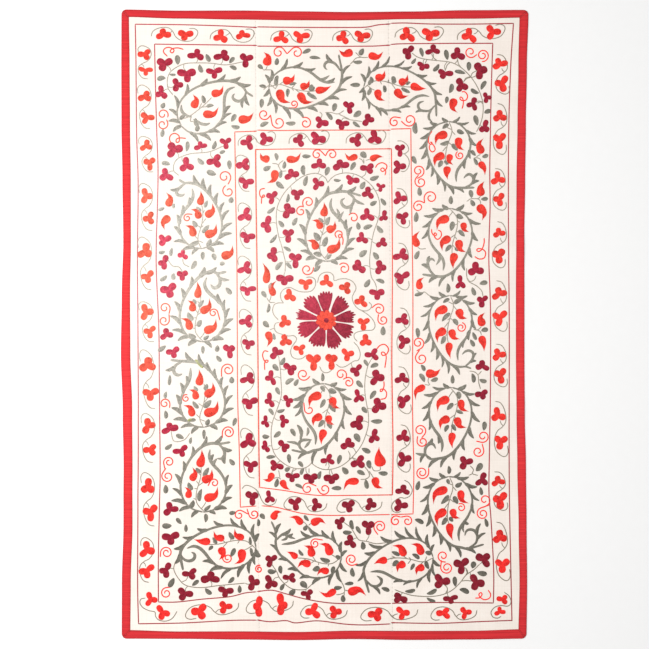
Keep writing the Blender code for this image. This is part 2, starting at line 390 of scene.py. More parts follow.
Thread = collections.namedtuple("Thread", "slot material")
THREADS = {
    "crimson": Thread("crimson_silk", silk("crimson_floss_silk", "8A1026", "B2223E", "DC5066")),
    "orange": Thread("orange_red_silk", silk("orange_red_floss_silk", "FF2A26", "FF4234", "FF7058")),
    "green": Thread("grey_green_silk", silk("grey_green_floss_silk", "6B675C", "938F83", "BDB9AE")),
    "stem": Thread("grey_green_silk", silk("grey_beige_floss_silk", "857C6C", "A59D8F", "BDB7A9")),
    "coral": Thread("coral_silk", silk("coral_floss_silk", "E83C2C", "EE5644", "F2806A")),
    "stained": Thread("grey_green_silk", silk("yellow_stained_floss_silk", "8E8E56", "A2A468", "BABC86")),
    "rose": Thread("rose_silk", silk("dusty_rose_floss_silk", "9E2430", "BC404C", "CC6E78")),
}
print("materials:", len(bpy.data.materials))

# %% [markdown]
# ## The ground
# Three loom widths are sewn side by side. Each is a thin closed sheet: a grid is laid flat, its points are
# moved to the wandering edges and up to the lie of the cloth, and Solidify gives it its thickness. Along
# a seam the cotton is turned under, so the edge dips a little into the join.

# %% Ground panels
GRID_STEP = 9 * MM
TURN = 7 * MM  # width of the rounded edge at a seam
TURN_DIP = 0.9 * MM
SHEET_THICK = 0.9 * MM
HALF_GAP = PIECE_GAP / 2
SHARP = math.radians(60)  # the angle from which an edge between two faces stays sharp


def object_named(name):
    """The object that an operator has just made, under its own name."""
    piece = bpy.context.object
    piece.name = name
    piece.data.name = name
    return piece


def store(mesh, name, values):
    """Keeps one value for each point of a mesh as a named attribute."""
    layer = mesh.attributes.new(name, "FLOAT", "POINT")
    layer.data.foreach_set("value", np.ascontiguousarray(values, np.float32))


def sheet(name, x_of, y_of, top_of, shade_of, columns, rows, thickness, material):
    """A closed thin sheet, from functions of two shares that run from 0 to 1 across it and along it."""
    bpy.ops.object.select_all(action="DESELECT")
    bpy.ops.mesh.primitive_grid_add(x_subdivisions=columns, y_subdivisions=rows, size=1)
    piece = object_named(name)
    flat = np.empty(len(piece.data.vertices) * 3)
    piece.data.vertices.foreach_get("co", flat)
    across, along = flat.reshape(-1, 3)[:, 0] + 0.5, flat.reshape(-1, 3)[:, 1] + 0.5
    x, y = x_of(across, along), y_of(across, along)
    points = np.column_stack([x, y, top_of(across, along, x, y)])
    piece.data.vertices.foreach_set("co", points.ravel())
    store(piece.data, "Shade", shade_of(across, along))
    for layer in list(piece.data.uv_layers):
        piece.data.uv_layers.remove(layer)
    corners = np.empty(len(piece.data.loops), np.int32)
    piece.data.loops.foreach_get("vertex_index", corners)
    layer = piece.data.uv_layers.new(name="Cloth")
    layer.uv.foreach_set("vector", points[corners, :2].ravel().astype(np.float32))
    solid = piece.modifiers.new("thickness", "SOLIDIFY")
    solid.thickness = thickness
    solid.offset = -1
    bpy.ops.object.modifier_apply(modifier=solid.name)
    bpy.ops.object.shade_smooth_by_angle(angle=SHARP)
    piece.data.materials.clear()
    piece.data.materials.append(material)
    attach(piece, "root")
    return piece


def ground_panel(name, left_edge, right_edge, seam_left, seam_right):
    """One loom width between two edges given as functions of y."""

    def y_of(across, along):
        x = left_edge(0 * across) + (right_edge(0 * across) - left_edge(0 * across)) * across
        foot, head = FOOT.inner(x) + PIECE_GAP, HEAD.inner(x) - PIECE_GAP
        return foot + (head - foot) * along

    def x_of(across, along):
        y = y_of(across, along)
        return left_edge(y) + (right_edge(y) - left_edge(y)) * across

    def turned(distance):
        return TURN_DIP * np.clip(1 - distance / TURN, 0, 1) ** 2

    def top_of(across, along, x, y):
        top = cloth_top(x, y)
        if seam_left:
            top = top - turned(x - left_edge(y))
        if seam_right:
            top = top - turned(right_edge(y) - x)
        return np.maximum(top, lift(x, y) + SHEET_THICK)

    # painted highlight: how far the cotton lies out of the lamp's glare, stored as Shade for its material
    def away_from_glare_of(across, along):
        return 1 - glare_and_fading(x_of(across, along), y_of(across, along))

    width, length = apart(left_edge, right_edge), apart(FOOT.inner, HEAD.inner)
    columns, rows = round(width / GRID_STEP), round(length / GRID_STEP)
    piece = sheet(name, x_of, y_of, top_of, away_from_glare_of, columns, rows, SHEET_THICK, GROUND_COTTON)
    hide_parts(name.replace("cloth", "panel"))
    print(f"{name}: {width:.3f} by {length:.3f} m")


def beside(seam, gap):
    """The edge that runs along a seam, this far to its right."""
    return lambda y: seam_x(seam, y) + gap


left_seam, right_seam = SEAMS
edges = [
    lambda y: LEFT.inner(y) + PIECE_GAP, beside(left_seam, -HALF_GAP),
    beside(left_seam, HALF_GAP), beside(right_seam, -HALF_GAP),
    beside(right_seam, HALF_GAP), lambda y: RIGHT.inner(y) - PIECE_GAP,
]
ground_panel("ground_cloth_left", *edges[:2], False, True)
ground_panel("ground_cloth_middle", *edges[2:4], True, True)
ground_panel("ground_cloth_right", *edges[4:], True, False)

# %% [markdown]
# ## The binding
# The binding shows as a flat folded tube, 26 to 33 mm wide: round at the outer fold, a little full in the
# middle, and turned under where it is sewn down. The four strips meet in mitres. Each is the same sheet
# as the ground, but its height follows the fold, and small puckers cross it where the needle drew it in.

# %% Binding strips
BINDING_CROWN = 2.5 * MM
FOLD_SHARE = 0.10  # the share of its width in which it rounds down to the outer fold
HEM_SHARE = 0.07  # and down to the turned edge
FOLD_FULL, HEM_FULL = 0.28, 0.22  # how much of the height each of the two roundings takes away
MITRE_DIP = 0.6 * MM
MITRE_RUN = 7 * MM
# the width of the painted shade along each mitre
MITRE_SHADE = 4 * MM
PUCKER = 0.16 * MM
BINDING_SKIN = 0.8 * MM
BINDING_EDGE = 0.5 * MM
BINDING_COLUMNS = 14
TURNED_IN = CORNER_RADIUS * (1 - math.sqrt(0.5))  # from a corner's square point to the middle of its arc
STATION = 10 * MM
CLOSER = 0.25  # how much closer together the stations stand toward the mitres
END_SHADE = 0.15  # painted shade: how much darker the binding is drawn toward both ends of the cloth


def corner_turn(distance):
    """How far an outer edge draws in, at a distance from the square corner."""
    inside = np.clip(CORNER_RADIUS - distance, 0, CORNER_RADIUS)
    return CORNER_RADIUS - np.sqrt(CORNER_RADIUS ** 2 - inside ** 2)


def crossing(edge, other, start):
    """Where two edges cross: the place along the first, found by walking between them a few times."""
    place = start
    for _ in range(4):
        place = float(other(edge(np.array([place])))[0])
    return place


def binding_strip(side):
    first, last = (FOOT, HEAD) if side.lengthwise else (LEFT, RIGHT)
    half = HALF_LENGTH if side.lengthwise else HALF_WIDTH
    first_outer = crossing(side.outer, first.outer, -half) + TURNED_IN + PIECE_GAP
    first_inner = crossing(side.inner, first.inner, -half) + PIECE_GAP
    last_outer = crossing(side.outer, last.outer, half) - TURNED_IN - PIECE_GAP
    last_inner = crossing(side.inner, last.inner, half) - PIECE_GAP

    def ends_of(along):
        """The places along the strip of its outer and inner edge, closer together near the mitres."""
        along = (1 - CLOSER) * along + CLOSER * (0.5 - 0.5 * np.cos(math.pi * along))
        outer = first_outer + (last_outer - first_outer) * along
        return outer, first_inner + (last_inner - first_inner) * along

    def along_of(across, along):
        outer, inner = ends_of(along)
        return outer + (inner - outer) * across

    def side_of(across, along):
        place_outer, place_inner = ends_of(along)
        from_end = np.minimum(place_outer - first_outer, last_outer - place_outer) + TURNED_IN
        outer = side.outer(place_outer) + side.inward * corner_turn(from_end)
        return outer + (side.inner(place_inner) - outer) * across

    def mitre_distance(along):
        return np.minimum(along, 1 - along) * (last_outer - first_outer)

    def top_of(across, along, x, y):
        place = along_of(across, along)
        fold = np.clip(across / FOLD_SHARE, 0, 1)
        hem = np.clip((1 - across) / HEM_SHARE, 0, 1)
        crown = 1 - FOLD_FULL + FOLD_FULL * np.sin(math.pi * np.clip(across, 0, 1))
        section = np.sqrt(1 - (1 - fold) ** 2) * crown
        section = section * (1 - HEM_FULL + HEM_FULL * np.sqrt(1 - (1 - hem) ** 2))
        dip = MITRE_DIP * np.clip(1 - mitre_distance(along) / MITRE_RUN, 0, 1) ** 2
        puckers = np.sin(place * 210 + 1.5 * np.sin(place * 37)) * np.sin(place * 61)
        puckers = puckers * np.sin(math.pi * across)
        top = BINDING_EDGE + (BINDING_CROWN - BINDING_EDGE) * section + PUCKER * puckers - dip * section
        return lift(x, y) + np.maximum(top, BINDING_SKIN)

    def shade_of(across, along):
        # painted highlight along the proud middle, painted shade at both rims, along the mitres and toward
        # both ends
        proud = np.exp(-((across - 0.5) / 0.3) ** 2)
        rims = np.exp(-(across / 0.05) ** 2) + np.exp(-((1 - across) / 0.05) ** 2)
        mitre = np.exp(-(mitre_distance(along) / MITRE_SHADE) ** 2)
        away_from_glare = END_SHADE * (y_of(across, along) / HALF_LENGTH) ** 2
        return 0.08 * proud - 0.25 * rims - 0.12 * mitre - away_from_glare

    x_of, y_of = (side_of, along_of) if side.lengthwise else (along_of, side_of)
    width, length = apart(side.outer, side.inner), last_outer - first_outer
    rows = round(length / STATION)
    name = "binding_fold_" + side.name
    piece = sheet(name, x_of, y_of, top_of, shade_of, BINDING_COLUMNS, rows, BINDING_SKIN, BINDING_COTTON)
    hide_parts("binding_" + side.name)
    print(f"{name}: {width / MM:.1f} mm by {length:.3f} m")


for side in (LEFT, RIGHT, FOOT, HEAD):
    binding_strip(side)

# %% [markdown]
# ## Needlework
# A suzani is thousands of stitches, so each stitched shape is a small patch of points worked out by numpy
# and joined to the others of its kind. Two kinds of shape make everything. A *line* is one or more rows
# of chain stitch along a path. A *blade* is a filled shape round a spine, worked round and round from its
# rim to its middle: with a round end and a point it is a leaf, bent it is a drop, and three make a flower.

# %% Gathering stitched shapes
SINK = 0.35 * MM  # how far the rim of a stitched shape goes into the cloth
FILLED_RISE = 1.0 * MM
LINE_RISE = 0.75 * MM
ROW_PITCH = 3.0 * MM  # from one row of stitches to the next
VALLEY = 0.62  # the height of the valley between two rows, as a share of a row's
PIECES = {}


class Needlework:
    """Stitched shapes in one thread, held as arrays and joined into one mesh at the end."""

    def __init__(self, name, thread):
        self.name, self.thread = name, THREADS[thread]
        self.points, self.shades, self.faces, self.stitches, self.count = [], [], [], [], 0
        PIECES[name] = self

    def add(self, plan, rise, shade, faces, stitches):
        """Takes in a shape: its points, and for each kind of its faces their corners and stitches."""
        height = cloth_top(plan[:, 0], plan[:, 1]) + rise
        self.points.append(np.column_stack([plan, height]))
        self.shades.append(shade)
        for corners, where in zip(faces, stitches):
            self.faces.append(corners + self.count)
            self.stitches.append(where)
        self.count += len(plan)

    def make(self):
        points = np.concatenate(self.points)
        sizes = np.concatenate([np.full(len(f), f.shape[1]) for f in self.faces])
        corners = np.concatenate([f.ravel() for f in self.faces])
        stitches = np.concatenate([s.reshape(-1, 2) for s in self.stitches])
        mesh = bpy.data.meshes.new(self.name)
        mesh.vertices.add(len(points))
        mesh.vertices.foreach_set("co", points.ravel().astype(np.float32))
        mesh.loops.add(len(corners))
        mesh.loops.foreach_set("vertex_index", corners.astype(np.int32))
        mesh.polygons.add(len(sizes))
        mesh.polygons.foreach_set("loop_start", (np.cumsum(sizes) - sizes).astype(np.int32))
        mesh.update(calc_edges=True)
        mesh.polygons.foreach_set("use_smooth", np.ones(len(sizes), bool))
        mesh.uv_layers.new(name="Stitches").uv.foreach_set("vector", stitches.ravel().astype(np.float32))
        store(mesh, "Shade", np.concatenate(self.shades))
        # painted highlight, with part of it a real difference of dye: how far each point lies in the lamp's
        # glare
        store(mesh, "Fade", glare_and_fading(points[:, 0], points[:, 1]))
        mesh.materials.append(self.thread.material)
        piece = bpy.data.objects.new(self.name, mesh)
        bpy.context.scene.collection.objects.link(piece)
        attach(piece, "root")
        triangles = int((sizes - 2).sum())
        print(f"{self.name}: {triangles} triangles")
        return triangles


# %% [markdown]
# A path is read at even steps of its own length. Its sideways direction at each step gives the shape its
# width. A Catmull-Rom curve passes through every point that it is given, so a path needs only a few. What
# a hand varies is worked out from the motif's own place, so that each run of the lesson sews the same cloth.

# %% Paths
def chance(*numbers):
    """A number from 0 to 1 that looks random but is the same each time for the same numbers."""
    mixed = math.sin(sum(number * (12.9898 + 65.233 * i) for i, number in enumerate(numbers, 1))) * 43758.5453
    return mixed - math.floor(mixed)


def through(points, steps=8):
    """A smooth curve through the given points."""
    points = np.asarray(points, float)
    if len(points) < 3:
        return points
    padded = np.vstack([2 * points[0] - points[1], points, 2 * points[-1] - points[-2]])
    share = np.linspace(0, 1, steps, endpoint=False)[:, None]
    spans = []
    for before, start, end, after in zip(padded, padded[1:], padded[2:], padded[3:]):
        spans.append(0.5 * (2 * start + (end - before) * share
                            + (2 * before - 5 * start + 4 * end - after) * share ** 2
                            + (3 * start - before - 3 * end + after) * share ** 3))
    return np.vstack(spans + [points[-1:]])


def lengths(path):
    """The length of a path up to each of its points."""
    return np.concatenate([[0], np.cumsum(np.hypot(*np.diff(path, axis=0).T))])


def read(path, shares):
    """Points of a path at shares of its length, with the direction to its left at each."""
    run = lengths(path)
    at = np.asarray(shares) * run[-1]
    points = np.stack([np.interp(at, run, path[:, i]) for i in (0, 1)], -1)
    reach = run[-1] * 0.01
    ahead = np.stack([np.interp(np.minimum(at + reach, run[-1]), run, path[:, i]) for i in (0, 1)], -1)
    behind = np.stack([np.interp(np.maximum(at - reach, 0), run, path[:, i]) for i in (0, 1)], -1)
    tangent = ahead - behind
    tangent = tangent / np.maximum(np.linalg.norm(tangent, axis=-1, keepdims=True), 1e-9)
    return points, np.stack([-tangent[..., 1], tangent[..., 0]], -1)


def curves(text):
    """Smooth curves over the cloth, each through the pixels of one list."""
    return [through([on_cloth(*pixel) for pixel in groups(pixels)]) for pixels in text.split("|")]


def side_by_side(*columns):
    """Arrays stretched to one shape, as the columns of a table with a row for each of their places."""
    return np.stack(np.broadcast_arrays(*columns), -1).reshape(-1, len(columns))


def left_of(way):
    """The same step, turned a quarter to its left."""
    return np.array([-way[1], way[0]])


# %% [markdown]
# A line's section is a low arch for each row, with its rims just inside the cotton. The sections are joined
# along the path, closed underneath, and capped at both ends.

# %% Lines of chain stitch
LINE_STEP = 4.5 * MM
ARCH_ACROSS = np.array([-1, -0.55, 0, 0.55, 1])  # the section of a single row, from rim to rim
ARCH_HEIGHT = np.array([0, 0.75, 1, 0.75, 0])
RIM_SHADE = 0.12  # painted shade: how much darker a row is at its rims than on its ridge
BLUNT = 0.35  # the share of its width that a line still has at its very end
ROUNDING = 0.6  # how far before the end it starts to narrow, in widths


def arches(rows):
    """The places and heights of a section of this many rows side by side."""
    if rows == 1:
        return ARCH_ACROSS, ARCH_HEIGHT
    arch = np.where(np.arange(2 * rows + 1) % 2, 1.0, VALLEY)
    arch[[0, -1]] = 0
    return np.linspace(-1, 1, 2 * rows + 1), arch


def line(work, path, width, rows=1, step=LINE_STEP, rise=LINE_RISE):
    """Rows of chain stitch along a path. The width is one number, or one for each of evenly spread places."""
    total = lengths(path)[-1]
    stations = max(3, math.ceil(total / step) + 1)
    shares = np.linspace(0, 1, stations)
    centre, left = read(path, shares)
    widths = np.interp(shares, np.linspace(0, 1, np.size(width)), np.atleast_1d(width))
    from_end = np.minimum(shares, 1 - shares) * total
    widths = widths * np.clip(BLUNT + (1 - BLUNT) * np.sqrt(from_end / (ROUNDING * widths + 1e-6)), 0, 1)
    across, arch = arches(rows)
    count = len(across)
    plan = centre[:, None] + left[:, None] * (across * widths[:, None] / 2)[..., None]
    height = np.where(np.isin(np.arange(count), (0, count - 1)), -SINK, arch * rise)
    # painted shade toward the rims of each row
    tone = -RIM_SHADE * (1 - arch)
    first = (np.arange(stations - 1) * count)[:, None]
    strip = first + np.arange(count - 1)
    tops = side_by_side(strip, strip + count, strip + count + 1, strip + 1)
    under = side_by_side(first, first + count - 1, first + 2 * count - 1, first + count)
    caps = np.stack([np.arange(count), (stations - 1) * count + np.arange(count)[::-1]])
    sides = np.concatenate([tops, under])
    where = side_by_side((shares * total / LINK)[:, None], 1 - arch)
    work.add(plan.reshape(-1, 2), np.tile(height, stations), np.tile(tone, stations),
             [sides, caps], [where[sides], where[caps]])


def lines(work, text, width, step=LINE_STEP):
    """One row of chain stitch along each curve of a text."""
    for path in curves(text):
        line(work, path, width * PIXEL, step=step)
    print(f"{work.name}: {text.count('|') + 1} lines")


# %% [markdown]
# A blade's rim is read round the spine. Each ring inside it is one half row nearer the middle, up for a
# ridge of stitches and down for the valley between two, which is what makes the rings in each petal.

# %% Filled blades
RIDGE_SHADE, VALLEY_SHADE = 0.05, -0.16  # painted highlight: how much lighter a ridge is; painted shade: how much darker a valley


@functools.cache
def ring_faces(rings, around):
    """Faces between nested rings of points, with a lid on the last ring and a floor under the first."""
    half = around // 2
    ring = (np.arange(rings - 1) * around)[:, None]
    spot = np.arange(around)
    after = (spot + 1) % around
    quads = side_by_side(ring + spot, ring + around + spot, ring + around + after, ring + after)
    j = np.arange(1, half - 1)
    lid = side_by_side(j, around - j, around - j - 1, j + 1)
    ends = np.array([[0, around - 1, 1], [half - 1, half + 1, half]])
    top = (rings - 1) * around
    return np.concatenate([quads, lid + top, lid[:, ::-1]]), np.concatenate([ends + top, ends[:, ::-1]])


def blade(work, spine, width, base=0.5, tip=0.5, around=18, rise=FILLED_RISE, shade=0.0, pitch=ROW_PITCH):
    """A filled shape whose half width along the spine goes as u to the base times (1 - u) to the tip."""
    length = lengths(spine)[-1]
    rows = max(1, round(width / 2 / pitch))
    rings = 2 * rows
    turn = np.arange(around) / around * 2 * math.pi
    u = (1 - np.cos(turn)) / 2
    widest = base / (base + tip)
    peak = widest ** base * (1 - widest) ** tip
    half = width / 2 * u ** base * (1 - u) ** tip / peak * np.sign(np.round(np.sin(turn), 6))
    inward = (np.arange(rings) / rings)[:, None]
    keep = np.clip(1 - inward * width / length, 0.05, 1)
    centre, left = read(spine, np.clip(widest + (u - widest) * keep, 0, 1))
    plan = centre + left * (half * (1 - inward))[..., None]
    ridge = np.arange(rings) % 2 == 1
    height = np.where(ridge, rise, VALLEY * rise)
    height[0] = -SINK
    # painted highlight on the ridges and painted shade in the valleys, over the shape's own tone
    tone = shade + np.where(ridge, RIDGE_SHADE, VALLEY_SHADE)
    closed = np.concatenate([plan, plan[:, :1]], 1)
    steps = np.linalg.norm(np.diff(closed, axis=1), axis=-1)
    along = np.concatenate([np.zeros((rings, 1)), np.cumsum(steps, 1)], 1)
    quads, tips = ring_faces(rings, around)
    where = side_by_side(along[:, :-1] / LINK, ~ridge[:, None])
    stitches = where[quads]
    sides = (rings - 1) * around
    last = np.arange(sides) % around == around - 1
    stitches[:sides][last, 2, 0] = along[1:, -1] / LINK
    stitches[:sides][last, 3, 0] = along[:-1, -1] / LINK
    work.add(plan.reshape(-1, 2), np.repeat(height, around), np.repeat(tone, around),
             [quads, tips], [stitches, where[tips]])


# %% [markdown]
# ## The motifs
# With lines and blades the motifs are short. A flower is three round blades that meet in its middle. Each
# lobe is a little longer or wider than the next, as no two were drawn alike, and a whole flower may be
# drawn wider or taller than the usual one. A motif's sizes are in pixels of the photograph.

# %% Flowers
LOBE_LENGTH = 8.7
LOBE_WIDTH = 6.4
LOBE_ROOT = 1.3  # how far behind the middle a lobe starts
LOBE_ENDS = (0.62, 0.42)  # how fast its half width grows at its root, and falls at its tip
LOT_SHADE = 0.16  # how far one flower's dye lot may differ from the next one's


def toward(degrees):
    """The direction of an angle counted from the right, anticlockwise."""
    return np.array([math.cos(math.radians(degrees)), math.sin(math.radians(degrees))])


def flower(work, px, py, one, two, three, wide, tall):
    """Three lobes out from one place, toward each of three bearings. The whole may be drawn wide or tall."""
    middle = on_cloth(px, py)
    lot = LOT_SHADE * (chance(px, py) - 0.5)
    for number, bearing in enumerate((one, two, three)):
        out = toward(bearing) * (wide, tall)
        luck = chance(px, py, number)
        length = LOBE_LENGTH * PIXEL * (0.93 + 0.16 * luck)
        start = middle - out * LOBE_ROOT * PIXEL
        bend = left_of(out) * (luck - 0.5) * 0.12 * length
        spine = through([start, start + out * length * 0.55 + bend, start + out * length], 6)
        width = LOBE_WIDTH * PIXEL * (wide + tall) / 2 * (1.08 - 0.16 * luck)
        blade(work, spine, width, *LOBE_ENDS, shade=lot + 0.05 * (luck - 0.5))


def sew(motif, work, rows):
    """Sews one copy of a motif for each row of a table."""
    for row in rows:
        motif(work, *row)
    print(f"{work.name}: {len(rows)} of {motif.__name__}")


# %% [markdown]
# A leaf is one blade that is round at its foot and narrower at its tip. A drop is one that comes to a long
# fine point, with its spine bowed to one side.

# %% Leaves and drops
LEAF_ENDS = (0.5, 0.72)
LEAF_SHADE = 0.22
LEAF_BEND = 0.22
DROP_ENDS = (0.5, 1.6)
DROP_SHADE = 0.10
DROP_BOW = 1.3
DROP_FULL = 1.04  # the stitches spread a drop a little wider than it was drawn
DROP_POINT = 1.5  # a drop's point is too fine to see, so it runs this much past its place


def leaf(work, px, py, length, width, bearing):
    """A leaf round its middle, its narrow end toward the bearing."""
    middle, out = on_cloth(px, py), toward(bearing)
    luck = chance(px, py)
    bend = left_of(out) * (luck - 0.5) * LEAF_BEND * length * PIXEL
    half = out * length * PIXEL / 2
    spine = through([middle - half, middle + bend, middle + half], 6)
    shade = LEAF_SHADE * (luck - 0.5)
    blade(work, spine, width * PIXEL, *LEAF_ENDS, around=16, shade=shade, rise=0.9 * FILLED_RISE)


def drop(work, px, py, tip_px, tip_py, width, bend):
    """A drop, round at one place and out to a tip at another, bowed to the left of the way there."""
    start, end = on_cloth(px, py), on_cloth(tip_px, tip_py)
    way = end - start
    middle = start + way * 0.5 + left_of(way) * bend * DROP_BOW
    leaving = (middle - start) / np.linalg.norm(middle - start)
    point = end + (end - middle) / np.linalg.norm(end - middle) * DROP_POINT * PIXEL
    spine = through([start - leaving * width * PIXEL * 0.5, start, middle, point], 8)
    shade = DROP_SHADE * (chance(px, py) - 0.5)
    blade(work, spine, width * DROP_FULL * PIXEL, *DROP_ENDS, around=26, shade=shade)


# %% [markdown]
# A scroll is one row of chain stitch that winds in on itself. It starts at the end of its stem, and its
# turns are counted from there, left-handed or right-handed.

# %% Scrolls
LINE_WIDTH = 1.15
SCROLL_WIDTH = 1.45
SCROLL_CLOSING = 0.74  # the share of its radius that a scroll loses by its inner end
SCROLL_STEP = 2.6 * MM
TURN_POINTS = 14
STEM_FROM = 1.1  # a scroll has a stem if its start is farther away than this many radii


def scroll(work, px, py, radius, turns, from_px, from_py):
    """A scroll round a place. It comes from a pixel, touches its own outer turn and winds inward."""
    middle, start = on_cloth(px, py), on_cloth(from_px, from_py)
    out = start - middle
    touching = math.copysign(math.acos(min(radius * PIXEL / np.linalg.norm(out), 1)), turns)
    share = np.linspace(0, 1, max(8, round(abs(turns) * TURN_POINTS)))
    angle = math.atan2(out[1], out[0]) + touching + 2 * math.pi * turns * share
    reach = radius * PIXEL * (1 - SCROLL_CLOSING * share)
    path = middle + np.stack([np.cos(angle), np.sin(angle)], -1) * reach[:, None]
    if np.linalg.norm(out) > STEM_FROM * radius * PIXEL:
        path = np.vstack([start, path])
    line(work, through(path, 3), SCROLL_WIDTH * PIXEL, step=SCROLL_STEP)


# %% [markdown]
# ## Frame lines
# Two narrow bands frame the cloth, each between a pair of stitched lines: dusty rose round the outer band
# and coral round the inner. The lines wander with the cloth, and step where they cross a seam.

# %% Frame lines
ROSE_LINES = """
135.3,24.3 136,60 136.7,135 138.2,185 137.5,260 138,330 138.4,420 138,510 137.7,585 138.6,623.6 |
134.8,24.3 185,24.9 222,26 257,27.6 | 257,27 300,27.5 340,27.6 365,27.4 378,25 390.5,24 | 390.5,23.4
406,23.1 431,24.1 470,24.2 513.6,23.5 | 513.4,23 510.5,70 508.6,135 508.4,230 509.2,330 509,430 509.4,500
510.8,570 511.9,621 | 138,623.7 185,622.8 231,620.3 257,620 | 257,619.8 270,621.5 286,620.5 296,622.8
318,620.7 345,624 365,624.8 390.5,623.8 | 391,622.6 437,623.2 480,621.5 512.4,620.3 | 154.6,43.8 155.6,90
156.9,135 158.1,171 157.3,213 156.2,263 158.9,330 159.4,385 160.2,471 159.4,510 158.4,560 158.5,602 |
154,44.2 200,44.8 257,45.6 | 257,46.3 300,46.4 365,46.4 390.5,45.2 | 390.5,44.6 402,43.9 440,43.6
493,43.4 | 492.7,43 491.2,90 490.3,135 489.7,170 490,208 488.7,255 490.4,308 490.4,380 489.6,440 488.9,491
491,520 493.6,570 493.4,603 | 158,601.9 177,601.9 202,599.1 229,596.7 245,592.9 256.5,591.6 | 257,591.4
272,590 286,593.7 301,597.9 318,601.2 338,603.3 365,603.4 391,603.3 | 392,603.2 420,602.6 450,602.4
493.8,602.9
"""
CORAL_LINES = """
234.8,131.6 235.6,190 236.9,260 237.3,330 237.7,397 239.4,455 240.4,507.6 | 234.4,132 257,131.2 |
257,130.2 280,130.6 320,130.2 390.5,130.2 | 390.5,129.2 411.2,128.6 | 410.8,128.4 411.4,190 412.4,255
412.9,308 412.4,380 412.8,430 413.8,470 413,514.2 | 240,507.1 256.5,505.9 | 261.5,505.7 275,507 289,510.3
304,513.6 324,515.3 360,515 390,514.5 | 391,514.6 413.4,513.8 | 255.6,149.2 256.2,210 257.3,285 258,360
259,450 259.6,487.8 | 255,149.6 300,149 340,149.4 391.7,148.8 | 391.4,148.5 392.2,220 392.4,285 391.8,358
392.3,400 393,450 392.4,494.9 | 259.4,487.3 275,489.2 289,491.2 306,494.1 324,495.5 360,495.2 392.8,494.8
"""
ROSE_WIDTH = 1.36
CORAL_WIDTH = 1.25

FRAME_STEP = 6 * MM

lines(Needlework("outer_frame_lines", "rose"), ROSE_LINES, ROSE_WIDTH, FRAME_STEP)
lines(Needlework("inner_frame_lines", "coral"), CORAL_LINES, CORAL_WIDTH, FRAME_STEP)

# %% [markdown]
# ## Guard bands
# Both bands repeat one figure: two flowers with a vine that arches over the first, crosses between them,
# runs under the second and hooks over it. Going round the cloth the figure turns with the band, so one
# vine, drawn once beside a pair of flowers one unit apart, serves all four sides.

# %% Guard vine
GUARD_VINE = table("along across", """
-0.56,-2.0 -0.49,3.0 -0.28,6.0 0.03,7.3 0.28,6.2 0.45,2.2 0.55,-2.0 0.76,-5.4 1.04,-6.8 1.33,-5.4
1.53,-0.6 1.55,3.4 1.40,6.0 1.16,6.0
""")
GUARD_SPUR = table("along across", "0.40,3.8 0.30,1.8 0.18,1.2")
SPUR_WIDTH = 0.9
VINE_STEP = 4 * MM


def guard_vine(work, first, second):
    """The vine round two flowers, from the open side of the first to its hook over the second."""
    start, end = on_cloth(first.px, first.py), on_cloth(second.px, second.py)
    way = end - start
    side = left_of(way / np.linalg.norm(way))
    for points, width in ((GUARD_VINE, LINE_WIDTH), (GUARD_SPUR, LINE_WIDTH * SPUR_WIDTH)):
        path = [start + way * point.along + side * point.across * PIXEL for point in points]
        line(work, through(path), width * PIXEL, step=VINE_STEP)


# %% [markdown]
# The outer band's flowers are orange-red. Its table goes along the top, down the right side, along the
# foot and up the left side, two flowers to a figure. The last figure of a corner is drawn more freely.

